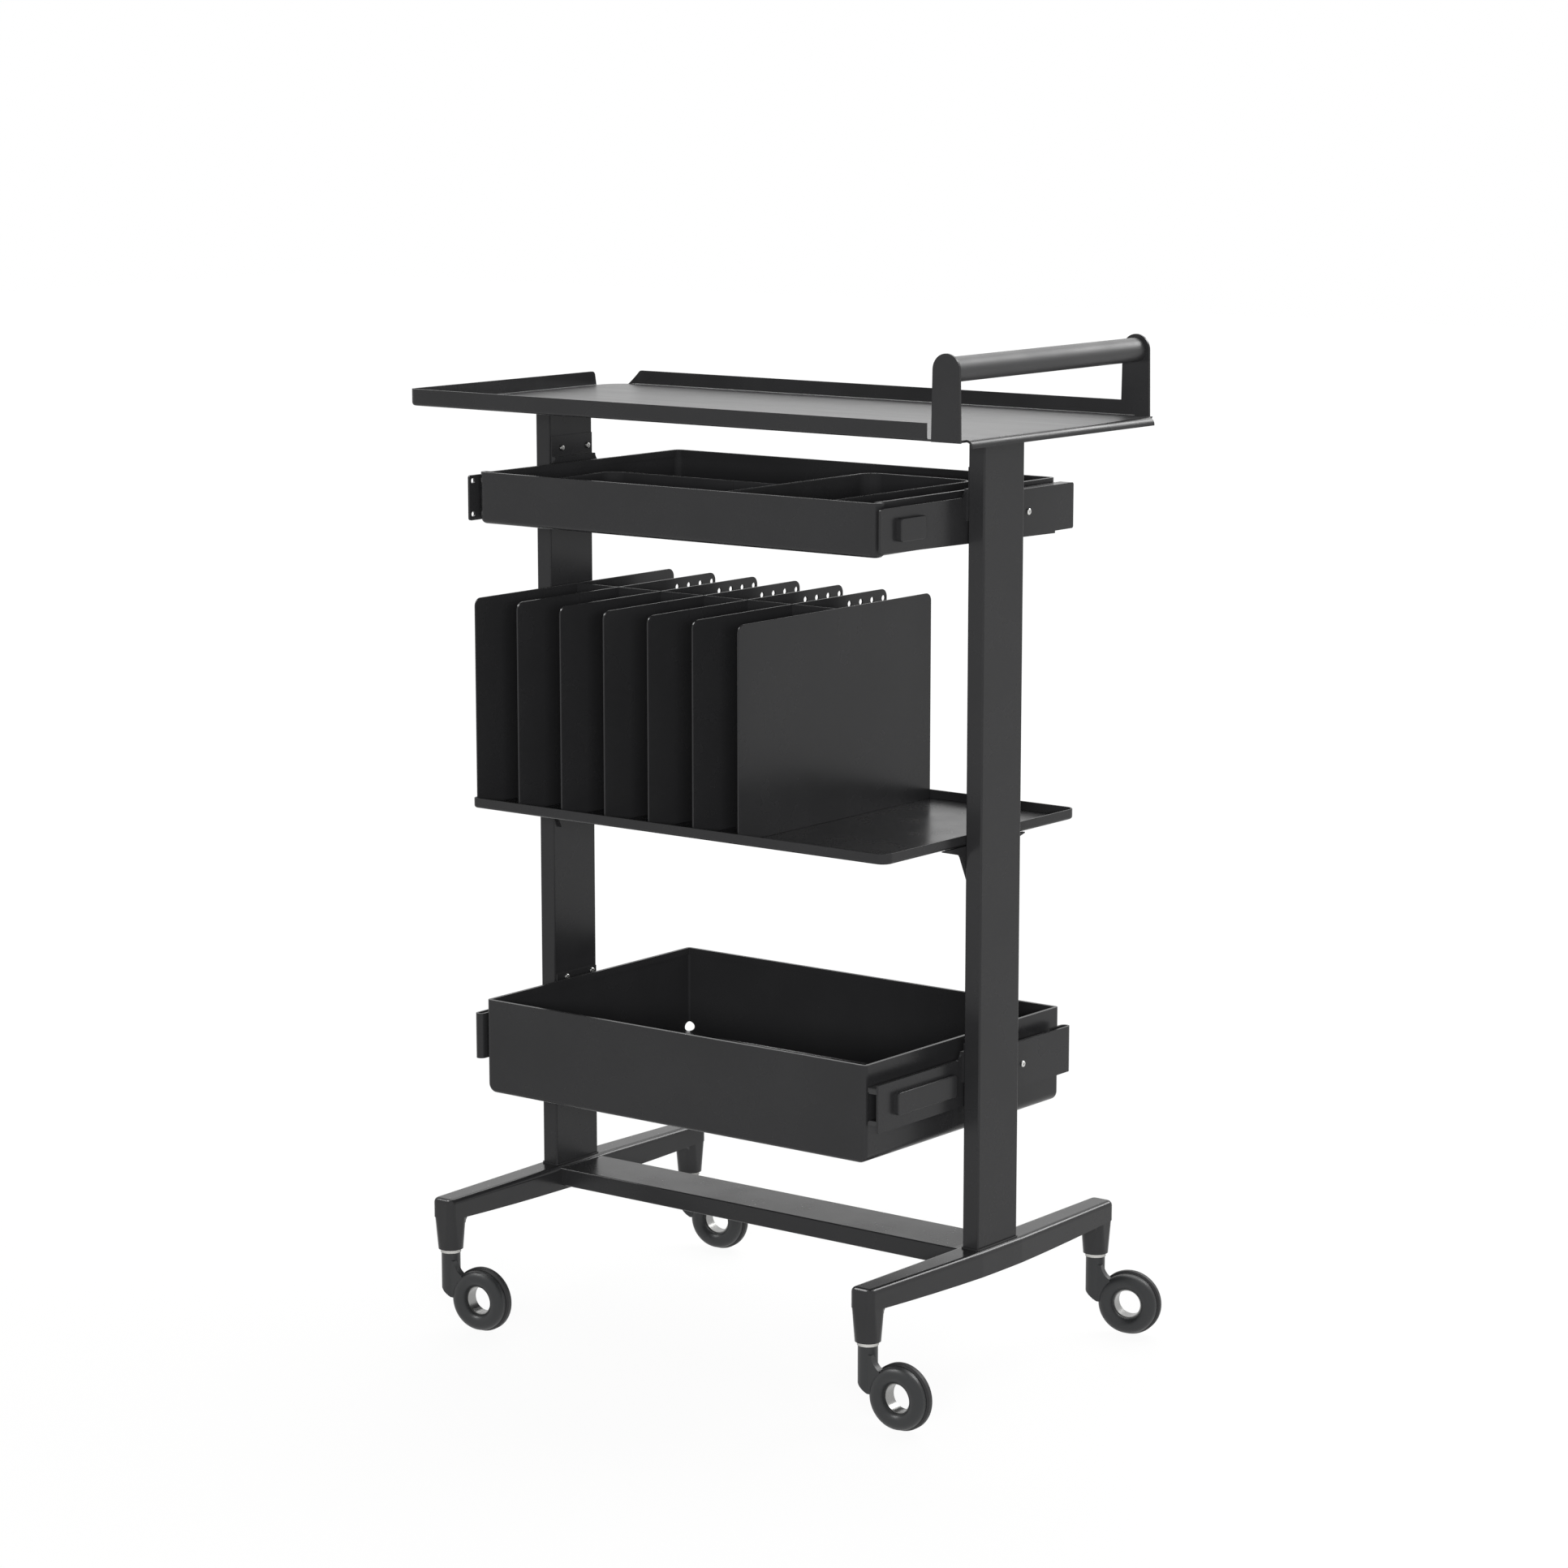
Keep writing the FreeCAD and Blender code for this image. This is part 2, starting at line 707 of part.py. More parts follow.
def housing_curl(end):
    """Closed end of a lower housing, bent back on itself with a short return leg."""
    low = lower_slide_height - lower_plate_half
    bend_y = end - curl_radius
    middle = V(housing_outer - curl_radius, bend_y, low)
    up = V(0, 0, 2 * lower_plate_half)
    ring = cylinder(curl_radius, middle, up).cut(cylinder(curl_radius - housing_thick, middle, up))
    reach = curl_radius + past
    ring = ring.cut(
        box(
            middle.x - reach, middle.x + reach, bend_y - reach, bend_y,
            low - past, lower_plate_top + past,
        )
    )
    leg_x = housing_outer - 2 * curl_radius
    leg = box(leg_x, leg_x + housing_thick, bend_y - curl_return, bend_y, low, lower_plate_top)
    return [ring, leg]


def lower_housing(side):
    """Housing whose closed end curls back on itself."""
    end = lower_right_end if side > 0 else lower_left_end
    low = lower_slide_height - lower_plate_half
    plate = box(housing_inner, housing_outer, housing_open_end, end - curl_radius, low, lower_plate_top)
    pieces = [housing_ear(lower_plate_top, lower_ear_rise), housing_pad(lower_slide_height, lower_pad_length)]
    housing = plate.fuse(housing_curl(end) + pieces).removeSplitter()
    housing = housing_screw_holes(housing, lower_ear_screw_z, lower_slide_height)
    return housing if side > 0 else turned_half(housing)


def channel(side, height, front):
    """Fixed slide member, a lipped channel on the housing's inner face."""
    x1 = housing_inner
    x0 = housing_inner - channel_depth
    half = channel_half_height
    inside = half - channel_sheet
    y0 = front - past
    y1 = channel_back + past
    bar = box(x0, x1, front, channel_back, height - half, height + half)
    bar = bar.cut(box(x0 + channel_sheet, x1 - channel_sheet, y0, y1, height - inside, height + inside))
    mouth_x = x0 + channel_sheet + past
    bar = bar.cut(box(x0 - past, mouth_x, y0, y1, height - channel_mouth, height + channel_mouth))
    start = V(x1 - channel_sheet - past, slide_screw_y, height)
    bar = bar.cut(cylinder(screw_radius + screw_hole_clear, start, V(channel_sheet + 2 * past, 0, 0)))
    return bar if side > 0 else turned_half(bar)


def slide_runners():
    """Plastic runners above and below each moving rail."""
    pieces = []
    x0 = housing_inner - channel_depth + channel_sheet
    x1 = housing_inner - channel_sheet
    top = channel_half_height - channel_sheet
    levels = [(upper_slide_height, upper_channel_front), (lower_slide_height, lower_channel_front)]
    for height, front in levels:
        over = box(x0, x1, front, channel_back, height + runner_inner, height + top)
        under = box(x0, x1, front, channel_back, height - top, height - runner_inner)
        pieces += [over, under, turned_half(over), turned_half(under)]
    return Part.makeCompound(pieces)


def rail(side, height):
    """Moving slide member, a shallow channel on the drawer's end wall."""
    x0 = drawer_half_length
    x1 = x0 + rail_depth
    half = rail_half_height
    inside = half - channel_sheet
    end = rail_half_length
    bar = box(x0, x1, -end, end, height - half, height + half)
    far = end + past
    bar = bar.cut(box(x0 + channel_sheet, x1 + past, -far, far, height - inside, height + inside))
    return bar if side > 0 else turned_half(bar)


def bent_block(half, front, back, bottom, top, inset):
    """The upper drawer's block with bent bottom edges, or its cavity when inset by the sheet thickness."""
    block = round_box(
        inset - half, half - inset, front + inset, back - inset,
        bottom + inset, top, upper_drawer_corner - inset,
    )
    return block.makeFillet(upper_drawer_bend - inset, edges_at_height(block, bottom + inset))


def hem_cavity(half, front, back, top, corner):
    """Space inside a drawer's folded rim."""
    length = half - hem_width
    return round_box(
        -length, length, front + hem_width, back - hem_width,
        top - hem_height, top + past, corner - hem_width,
    )


def drawer_cavity(half, front, back, bottom, top):
    """Space inside the upper drawer, narrower within its folded rim."""
    wide = bent_block(half, front, back, bottom, top - hem_height, sheet)
    return wide.fuse(hem_cavity(half, front, back, top, upper_drawer_corner)).removeSplitter()


def deep_block(top, inset):
    """The lower drawer's block with wide side bends and crisp ends, or its cavity when inset."""
    half = drawer_half_length - inset
    front = lower_drawer_front + inset
    back = lower_drawer_back - inset
    bottom = lower_drawer_bottom + inset
    block = box(-half, half, front, back, bottom, top)
    sides = [e for e in edges_along(block, V(0, 1, 0)) if e.BoundBox.ZMax < bottom + 1e-4]
    block = block.makeFillet(lower_drawer_bend - inset, sides)
    below_rim = [e for e in block.Edges if e.BoundBox.ZMin < top - 1e-4]
    ends = [e for e in below_rim if e.BoundBox.YMax < front + 1e-4 or e.BoundBox.YMin > back - 1e-4]
    return block.makeFillet(lower_drawer_corner - inset, ends)


def lower_drawer_shell():
    """Deep drawer with a relief hole low in its back left corner."""
    half = drawer_half_length
    rim = hem_cavity(half, lower_drawer_front, lower_drawer_back, lower_drawer_top, lower_drawer_corner)
    cavity = deep_block(lower_drawer_top - hem_height, sheet).fuse(rim).removeSplitter()
    shell = deep_block(lower_drawer_top, 0).cut(cavity)
    reach = lower_drawer_bend
    start = V(reach - half, lower_drawer_back - reach, lower_drawer_bottom + relief_height)
    return shell.cut(cylinder(relief_radius, start, V(-reach - past, reach + past, 0)))


def upper_drawer_place(margin):
    """Half length, front, back, bottom and top of the upper drawer, made longer by a margin at each end."""
    half = drawer_half_length + margin
    return half, upper_drawer_front, upper_drawer_back, upper_drawer_bottom, upper_drawer_top


def ahead_of(shape, back):
    """The part of an upper drawer shape that lies ahead of a depth."""
    far = drawer_half_length + 2 * front_panel_margin
    low = upper_drawer_bottom - past
    high = upper_drawer_top + 2 * past
    return shape.common(box(-far, far, upper_drawer_front - past, back, low, high))


def upper_drawer_cavity():
    """Space inside the upper drawer, with the ends of its wider front."""
    ends = ahead_of(drawer_cavity(*upper_drawer_place(front_panel_margin)), front_panel_back - sheet)
    return drawer_cavity(*upper_drawer_place(0)).fuse(ends).removeSplitter()


def upper_drawer_shell():
    """Shallow drawer whose front is wider and hides the slides."""
    front = ahead_of(bent_block(*upper_drawer_place(front_panel_margin), 0), front_panel_back)
    return bent_block(*upper_drawer_place(0), 0).fuse(front).removeSplitter().cut(upper_drawer_cavity())


def bent_bin(left, right, back):
    """Bent strip that walls off the front part of the upper drawer, open at the front."""
    low = upper_drawer_bottom
    high = upper_drawer_top - bin_below_rim
    ahead = upper_drawer_front - 2 * bin_corner
    outer = round_box(left, right, ahead, back, low, high, bin_corner)
    inner = round_box(
        left + bin_sheet, right - bin_sheet, ahead + bin_sheet, back - bin_sheet,
        low, high, bin_corner - bin_sheet,
    )
    return outer.cut(inner).common(upper_drawer_cavity())


def upper_left_bin():
    """Wide bin that ends against the side of the right bin."""
    beyond = right_bin_left + 2 * bin_corner
    strip = bent_bin(left_bin_left, beyond, left_bin_back)
    front = upper_drawer_front
    back = left_bin_back + past
    stop = box(right_bin_left, beyond + past, front, back, upper_drawer_bottom, upper_drawer_top)
    return strip.cut(stop)


def upper_right_bin():
    """Narrow bin beside the wide one."""
    return bent_bin(right_bin_left, right_bin_right, right_bin_back)


def pan_screw(length):
    """Screw along +X whose coned head lies behind the origin."""
    shank = cylinder(screw_radius, V(0, 0, 0), V(length, 0, 0))
    crown = V(-screw_head_height, 0, 0)
    head = Part.makeCone(screw_head_crown, screw_head_radius, screw_head_height, crown, V(1, 0, 0))
    return shank.fuse(head).removeSplitter()


def screw_at(x, y, z, direction, length):
    """A screw with its head's seat at a point, driven along +X or -X."""
    screw = pan_screw(length)
    if direction < 0:
        screw.rotate(V(0, 0, 0), V(0, 0, 1), 180)
    screw.translate(V(x, y, z))
    return screw


def housing_screws():
    """Ear screws that hold the four housings to the posts."""
    screws = []
    x = post_inner - ear_thick
    for y, z in ear_screw_places(upper_ear_screw_z) + ear_screw_places(lower_ear_screw_z):
        for side in (-1, 1):
            screws.append(screw_at(side * x, side * y, z, side, screw_length))
    return Part.makeCompound(screws)


def slide_screws():
    """Screws through the housings into the fixed slide members."""
    screws = []
    for height in (upper_slide_height, lower_slide_height):
        for side in (-1, 1):
            x = side * housing_outer
            screws.append(screw_at(x, side * slide_screw_y, height, -side, slide_screw_length))
    return Part.makeCompound(screws)


def bracket_screws():
    """Screws that hold the shelf brackets to the posts."""
    screws = []
    x = post_inner - bracket_thick
    for y, z in bracket_screw_places():
        for side in (-1, 1):
            screws.append(screw_at(side * x, y, z, side, screw_length))
    return Part.makeCompound(screws)


def socket_places():
    """Plan position of each caster."""
    return {
        "front_left": V(-socket_x, -socket_reach, 0),
        "front_right": V(socket_x, -socket_reach, 0),
        "back_left": V(-socket_x, socket_reach, 0),
        "back_right": V(socket_x, socket_reach, 0),
    }


def caster_washers():
    """Washers between the sockets and the caster stems."""
    washers = []
    up = V(0, 0, washer_thick)
    for place in socket_places().values():
        start = place + V(0, 0, socket_bottom - washer_thick)
        washers.append(cylinder(washer_radius, start, up).cut(cylinder(pin_radius + pin_clear, start, up)))
    return Part.makeCompound(washers)


def about_wheel(edges):
    """A profile of radius and side distance turned about the wheel axis."""
    face = Part.Face(Part.Wire(edges))
    face.translate(V(caster_trail, 0, wheel_radius))
    return face.revolve(V(caster_trail, 0, wheel_radius), V(0, 1, 0), 360)


def closed_profile(points):
    """Edges of a closed polygon in the plane through the wheel axis."""
    corners = [V(r, y, 0) for r, y in points]
    return Part.makePolygon(corners + [corners[0]]).Edges


def cover_ring():
    """Half-round ring that covers one side of the wheel, with the hub on its inner side."""
    lead = V(hub_bore, -cover_step, 0)
    crown = V((hub_bore + cover_radius) / 2, -cover_depth, 0)
    trail = V(cover_radius, -cover_step, 0)
    bow = Part.Arc(lead, crown, trail).toShape()
    rest = [
        trail, V(cover_radius, 0, 0), V(hub_radius, 0, 0), V(hub_radius, hub_length, 0),
        V(hub_bore, hub_length, 0), lead,
    ]
    return about_wheel([bow] + Part.makePolygon(rest).Edges)


def caster_neck():
    """Web that leads from the stem into the cover ring."""
    y = neck_inset - cover_depth
    axle = wheel_radius
    top = V(stem_radius - neck_inset / 4, y, axle + neck_top_rise)
    bow = V(stem_radius + neck_bow_out, y, axle + neck_bow_rise)
    end = V(caster_trail - neck_end_inset, y, axle + neck_end_rise)
    hollow = Part.Arc(top, bow, end).toShape()
    ring = caster_trail - cover_radius
    inner = caster_trail - neck_foot_inset
    rest = [
        end, V(inner, y, axle + neck_foot_inset), V(inner, y, axle),
        V(ring + neck_inset / 4, y, axle), V(0, y, axle + neck_inset), V(0, y, axle + neck_top_rise), top,
    ]
    web = Part.Face(Part.Wire([hollow] + Part.makePolygon(rest).Edges)).extrude(V(0, -y, 0))
    return web.cut(cylinder(hub_radius, V(caster_trail, y - past, axle), V(0, past - y + past, 0)))


def caster_stem():
    """Round stem, bevelled at its outer foot and cleared for the wheel on one side."""
    axle = wheel_radius
    reach = 2 * stem_radius
    stem = cylinder(stem_radius, V(0, 0, axle), V(0, 0, stem_top - axle))
    bevel = [
        V(-stem_radius, -reach, axle + stem_bevel_rise), V(stem_bevel_reach - stem_radius, -reach, axle),
        V(-reach, -reach, axle - past), V(-reach, -reach, axle + stem_bevel_rise),
    ]
    stem = stem.cut(prism(bevel, V(0, 2 * reach, 0)))
    return stem.cut(cylinder(wheel_radius + well_clear, V(caster_trail, 0, axle), V(0, reach, 0)))


def caster_body():
    """Stem, neck, cover ring, hub and swivel pin in one piece, the trail along +X."""
    pin = cylinder(pin_radius, V(0, 0, stem_top - past), V(0, 0, pin_length + past))
    bore = cylinder(hub_radius, V(caster_trail, -stem_radius, wheel_radius), V(0, 2 * stem_radius, 0))
    stem = caster_stem().cut(bore)
    return stem.fuse([caster_neck(), cover_ring(), pin]).removeSplitter()


def caster_clip():
    """Bright sleeve in the hub with a flange that keeps the wheel on."""
    inner = hub_bore - sleeve_wall
    start = sleeve_inset - cover_step
    end = hub_length + clip_thick
    points = [
        (inner, start), (hub_bore, start), (hub_bore, hub_length),
        (clip_radius, hub_length), (clip_radius, end), (inner, end),
    ]
    return about_wheel(closed_profile(points))


def wheel_rim():
    """Wheel core that runs on the hub."""
    inner = hub_radius + wheel_run_clear
    near = wheel_side_gap
    far = hub_length - wheel_side_gap
    return about_wheel(closed_profile([(inner, near), (rim_radius, near), (rim_radius, far), (inner, far)]))


def wheel_tyre():
    """Soft tyre with bevelled shoulders."""
    near = wheel_side_gap
    far = hub_length - wheel_side_gap
    shoulder = wheel_radius - tyre_chamfer
    points = [
        (rim_radius, near), (shoulder, near), (wheel_radius, near + tyre_chamfer),
        (wheel_radius, far - tyre_chamfer), (shoulder, far), (rim_radius, far),
    ]
    return about_wheel(closed_profile(points))


def placed(shape, name):
    """A caster piece turned to its swivel angle and set under its socket."""
    copy = shape.copy()
    copy.rotate(V(0, 0, 0), V(0, 0, 1), caster_angles[name])
    copy.translate(socket_places()[name])
    return copy


def frame_nodes():
    """Everything that stays still."""
    nodes = {
        "left_foot": foot(-1),
        "right_foot": foot(1),
        "cross_beam": cross_beam(),
        "left_post": post(-1),
        "right_post": post(1),
        "left_post_cap": post_cap(-1),
        "right_post_cap": post_cap(1),
        "top_tray": top_tray(),
        "handle_tube": handle_tube(),
        "middle_shelf": middle_shelf(),
        "left_shelf_bracket": shelf_bracket(-1),
        "right_shelf_bracket": shelf_bracket(1),
        "rack_left_end": rack_sheet(rack_left),
        "rack_right_end": rack_sheet(rack_right - sheet),
        "rack_spine": rack_spine(),
        "slide_runners": slide_runners(),
        "housing_screws": housing_screws(),
        "slide_screws": slide_screws(),
        "bracket_screws": bracket_screws(),
        "caster_washers": caster_washers(),
    }
    for number in range(1, rack_bays):
        nodes[f"rack_divider_{number}"] = rack_divider(number)
    for name, side in (("left", -1), ("right", 1)):
        nodes[f"upper_{name}_housing"] = upper_housing(side)
        nodes[f"lower_{name}_housing"] = lower_housing(side)
        nodes[f"upper_{name}_channel"] = channel(side, upper_slide_height, upper_channel_front)
        nodes[f"lower_{name}_channel"] = channel(side, lower_slide_height, lower_channel_front)
    return nodes


def drawer_nodes():
    """The two drawers with their rails and bins."""
    nodes = {
        "upper_drawer_shell": upper_drawer_shell(),
        "upper_left_bin": upper_left_bin(),
        "upper_right_bin": upper_right_bin(),
        "lower_drawer_shell": lower_drawer_shell(),
    }
    for name, side in (("left", -1), ("right", 1)):
        nodes[f"upper_{name}_rail"] = rail(side, upper_slide_height)
        nodes[f"lower_{name}_rail"] = rail(side, lower_slide_height)
    return nodes


def caster_nodes():
    """The four casters."""
    pieces = {
        "caster_{}_body": caster_body(),
        "caster_{}_clip": caster_clip(),
        "wheel_{}_rim": wheel_rim(),
        "wheel_{}_tyre": wheel_tyre(),
    }
    nodes = {}
    for name in caster_angles:
        for pattern, shape in pieces.items():
            nodes[pattern.format(name)] = placed(shape, name)
    return nodes


def main():
    """Build every node and write it out."""
    os.makedirs("parts", exist_ok=True)
    nodes = {**frame_nodes(), **drawer_nodes(), **caster_nodes()}
    for name, shape in nodes.items():
        shape.exportStep(f"parts/{name}.step")
        print(name, "valid" if shape.isValid() else "INVALID", len(shape.Solids), round(shape.Volume))


main()
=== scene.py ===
"""Salon trolley: finishes, rounded sheet edges, screws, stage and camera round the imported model."""
import json
import math

import bpy
from mathutils import Matrix, Vector


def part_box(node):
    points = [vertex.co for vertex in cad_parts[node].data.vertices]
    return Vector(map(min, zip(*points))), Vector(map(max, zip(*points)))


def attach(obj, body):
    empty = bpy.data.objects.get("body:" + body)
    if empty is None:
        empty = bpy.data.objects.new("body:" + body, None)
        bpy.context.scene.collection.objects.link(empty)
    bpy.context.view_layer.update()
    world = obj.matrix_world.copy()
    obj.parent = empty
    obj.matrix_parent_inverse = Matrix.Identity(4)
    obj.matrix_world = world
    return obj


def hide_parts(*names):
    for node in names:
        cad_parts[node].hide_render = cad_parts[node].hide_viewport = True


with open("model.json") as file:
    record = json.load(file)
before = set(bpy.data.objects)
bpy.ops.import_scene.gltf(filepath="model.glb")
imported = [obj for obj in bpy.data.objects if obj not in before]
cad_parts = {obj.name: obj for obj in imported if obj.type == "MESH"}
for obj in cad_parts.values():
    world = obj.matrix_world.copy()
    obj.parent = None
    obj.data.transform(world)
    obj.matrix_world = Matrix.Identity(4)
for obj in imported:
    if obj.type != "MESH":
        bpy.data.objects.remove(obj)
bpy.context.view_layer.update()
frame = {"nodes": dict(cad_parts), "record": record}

bl_info = {
    "name": "Salon Trolley Finishes",
    "version": (1, 0, 0),
    "blender": (4, 5, 0),
    "location": "View3D > Sidebar > Trolley",
    "description": "Dresses a salon trolley with its finishes, rounded edges, screws and studio",
    "category": "Object",
}

MM = 0.001

# Pieces by the way they are made
LEVELS = ("upper", "lower")
SIDES = ("left", "right")
CORNERS = ("front_left", "front_right", "back_left", "back_right")
TUBES = ("left_post", "right_post", "left_post_cap", "right_post_cap", "cross_beam")
FEET = ("left_foot", "right_foot")
RACK = ("rack_left_end", "rack_right_end", "rack_spine") + tuple(f"rack_divider_{n}" for n in range(1, 6))
SHELF = ("middle_shelf", "left_shelf_bracket", "right_shelf_bracket")
HOUSINGS = tuple(f"{level}_{side}_housing" for level in LEVELS for side in SIDES)
SLIDES = tuple(
    f"{level}_{side}_{member}" for level in LEVELS for side in SIDES for member in ("channel", "rail")
)
DRAWERS = ("upper_drawer_shell", "lower_drawer_shell", "upper_left_bin", "upper_right_bin")

# Rounding and shading of sheet pieces
MERGE_DISTANCE = 0.002 * MM
FLAT_ANGLE = math.radians(1)
CUT_EDGE_ANGLE = math.radians(40)
ROUND_SEGMENTS = 2
SHEET_SMOOTH_ANGLE = math.radians(38)
LARGE_FACES_DECIDE = 100
LEVEL_NORMAL = 0.99

# Form of a screw head; shares are of the head's height or radius
HEAD_SIDES = 28
HEAD_END_NORMAL = 0.9
DOME_SHARE = 0.55
DOME_SEGMENTS = 4
CROSS_HEIGHT_SHARE = 1.1
CROSS_REACH_SHARE = 0.52
SCREW_SMOOTH_ANGLE = math.radians(35)

# Orange peel of the coats and grain of the plastics, in millimetres
# The real peel is about 0.5 mm and the real grain about 0.2 mm: both are drawn coarser, so that they show.
SHEET_PEEL = 1.5
CASTING_PEEL = 2.2
SLIDE_PEEL = 1.2
MOULD_GRAIN = 0.8
TYRE_GRAIN = 0.6

# Sockets of a Mix node that mixes colours, which share their names with those for other kinds
MIX_FACTOR, MIX_FIRST, MIX_SECOND, MIX_COLOUR = 0, 6, 7, 2

# Places and sizes in the studio, in metres, and the strength at which the floor looks white
LAMP_AIM = (0, 0, 0.5)
OVERHEAD_PLACE = (-0.2, 1.4, 2.6)
OVERHEAD_SIZE = (3.0, 2.4)
FRONT_PLACE = (2.75, -3.55, 1.25)
BACK_PLACE = (-2.75, 3.55, 1.25)
FILL_SIZE = (2.4, 0.6)
RIGHT_STRIP_PLACE = (0.8, 2.45, 1.95)
LEFT_STRIP_PLACE = (-1.65, -0.75, 2.7)
STRIP_SIZE = (0.8, 1.2)
FLOOR_SIZE = 24
FLOOR_STRENGTH = 1.06
SHADOW_REACH = 0.8
WHITE_REACH = 2.5
WHITE_SHARE_NEAR = 0.88
WHITE_SHARE_FAR = 1.0
VIEW_REACH = 60
SENSOR_WIDTH_MM = 36


def linear(code):
    """Linear colour with full alpha from an sRGB hex code."""
    values = [int(code[i:i + 2], 16) / 255 for i in (1, 3, 5)]
    return tuple(v / 12.92 if v <= 0.04045 else ((v + 0.055) / 1.055) ** 2.4 for v in values) + (1.0,)


class TrolleyFinishes(bpy.types.PropertyGroup):
    """Colours and finish sizes of the trolley."""

    coat: bpy.props.FloatVectorProperty(
        name="Powder coat", description="Colour of the powder coat on sheet and tube",
        subtype="COLOR", size=4, min=0, max=1, default=linear("#272728"),
    )
    casting: bpy.props.FloatVectorProperty(
        name="Castings", description="Colour of the coat on the cast feet",
        subtype="COLOR", size=4, min=0, max=1, default=linear("#272728"),
    )
    nylon: bpy.props.FloatVectorProperty(
        name="Caster nylon", description="Colour of the caster bodies and, darkened, of the wheel cores",
        subtype="COLOR", size=4, min=0, max=1, default=linear("#222324"),
    )
    rubber: bpy.props.FloatVectorProperty(
        name="Tyres", description="Colour of the soft tyres and of the slides' runners",
        subtype="COLOR", size=4, min=0, max=1, default=linear("#1a1a1b"),
    )
    pale: bpy.props.FloatVectorProperty(
        name="Pale plastic", description="Colour of the caster washers",
        subtype="COLOR", size=4, min=0, max=1, default=linear("#b2b1ae"),
    )
    zinc: bpy.props.FloatVectorProperty(
        name="Zinc plate", description="Colour of the bright screws and, darkened, of the casters' sleeves",
        subtype="COLOR", size=4, min=0, max=1, default=linear("#dcdcda"),
    )
    edge_round: bpy.props.FloatProperty(
        name="Edge rounding", description="Rounding that the coat gives to the edges of sheet metal",
        subtype="DISTANCE", unit="LENGTH", min=0, default=0.45 * MM,
    )
    hem_round: bpy.props.FloatProperty(
        name="Hem rounding", description="Rounding along the folded rims of drawers and bins",
        subtype="DISTANCE", unit="LENGTH", min=0, default=0.8 * MM,
    )


class TrolleyScrews(bpy.types.PropertyGroup):
    """Sizes of the pan head screws."""

    head_radius: bpy.props.FloatProperty(
        name="Head radius", description="Radius of a screw head at its seat",
        subtype="DISTANCE", unit="LENGTH", min=0, default=2.75 * MM,
    )
    head_height: bpy.props.FloatProperty(
        name="Head height", description="Height of a screw head above its seat",
        subtype="DISTANCE", unit="LENGTH", min=0, default=1.6 * MM,
    )
    shank_radius: bpy.props.FloatProperty(
        name="Shank radius", description="Radius of the threaded shank",
        subtype="DISTANCE", unit="LENGTH", min=0, default=1.5 * MM,
    )
    shank_length: bpy.props.FloatProperty(
        name="Shank length", description="Length of the shank below the head of a post screw",
        subtype="DISTANCE", unit="LENGTH", min=0, default=7.0 * MM,
    )
    slide_shank_length: bpy.props.FloatProperty(
        name="Slide shank length", description="Length of the shank below the head of a slide screw",
        subtype="DISTANCE", unit="LENGTH", min=0, default=4.0 * MM,
    )
    slot_width: bpy.props.FloatProperty(
        name="Cross width", description="Width of each arm of the cross recess",
        subtype="DISTANCE", unit="LENGTH", min=0, default=0.7 * MM,
    )


class TrolleyStudio(bpy.types.PropertyGroup):
    """Camera and light of the studio."""

    lens: bpy.props.FloatProperty(
        name="Lens", description="Focal length on a 36 mm wide sensor", subtype="DISTANCE_CAMERA",
        min=1, default=100.83,
    )
    camera_place: bpy.props.FloatVectorProperty(
        name="Camera place", description="Where the camera stands", subtype="TRANSLATION",
        unit="LENGTH", default=(2.2736, -2.9347, 1.1218),
    )
    camera_azimuth: bpy.props.FloatProperty(
        name="Camera azimuth", description="Turn of the camera about the upright axis", subtype="ANGLE",
        default=math.radians(37.613),
    )
    camera_pitch: bpy.props.FloatProperty(
        name="Camera pitch", description="How far the camera looks down", subtype="ANGLE",
        default=math.radians(10.967),
    )
    camera_rise: bpy.props.FloatProperty(
        name="Camera shift", description="Upward shift of the lens, as a share of the image width",
        default=0.06,
    )
    room_light: bpy.props.FloatProperty(
        name="Room light", description="Strength of the light that the white room sends to rough surfaces",
        min=0, default=0.15,
    )
    overhead_power: bpy.props.FloatProperty(
        name="Overhead power", description="Power of the softbox overhead", subtype="POWER", unit="POWER",
        min=0, default=50.0,
    )
    front_power: bpy.props.FloatProperty(
        name="Front power", description="Power of the softbox in front", subtype="POWER", unit="POWER",
        min=0, default=200.0,
    )
    back_power: bpy.props.FloatProperty(
        name="Back power", description="Power of the softbox behind", subtype="POWER", unit="POWER",
        min=0, default=100.0,
    )
    right_strip_power: bpy.props.FloatProperty(
        name="Right strip power", description="Power of the lamp that shines in edges on the right",
        subtype="POWER", unit="POWER", min=0, default=30.0,
    )
    left_strip_power: bpy.props.FloatProperty(
        name="Left strip power", description="Power of the lamp that shines in edges at the front",
        subtype="POWER", unit="POWER", min=0, default=70.0,
    )


def finishes():
    """The trolley's finish settings."""
    return bpy.context.scene.trolley_finishes


def screws():
    """The trolley's screw settings."""
    return bpy.context.scene.trolley_screws


def studio():
    """The studio's settings."""
    return bpy.context.scene.trolley_studio


def add_node(tree, kind, links=None, **settings):
    """Adds a node with its settings; links gives a socket or a value for each named input."""
    node = tree.nodes.new(kind)
    for key, value in settings.items():
        setattr(node, key, value)
    for key, value in (links or {}).items():
        if isinstance(value, bpy.types.NodeSocket):
            tree.links.new(value, node.inputs[key])
        else:
            node.inputs[key].default_value = value
    return node


def per_metre(size_mm):
    """Noise scale whose features are about a given size in millimetres."""
    return 1.0 / (size_mm * MM)


def new_material(name):
    """An empty node material and its tree."""
    material = bpy.data.materials.new(name)
    material.use_nodes = True
    material.node_tree.nodes.clear()
    return material, material.node_tree


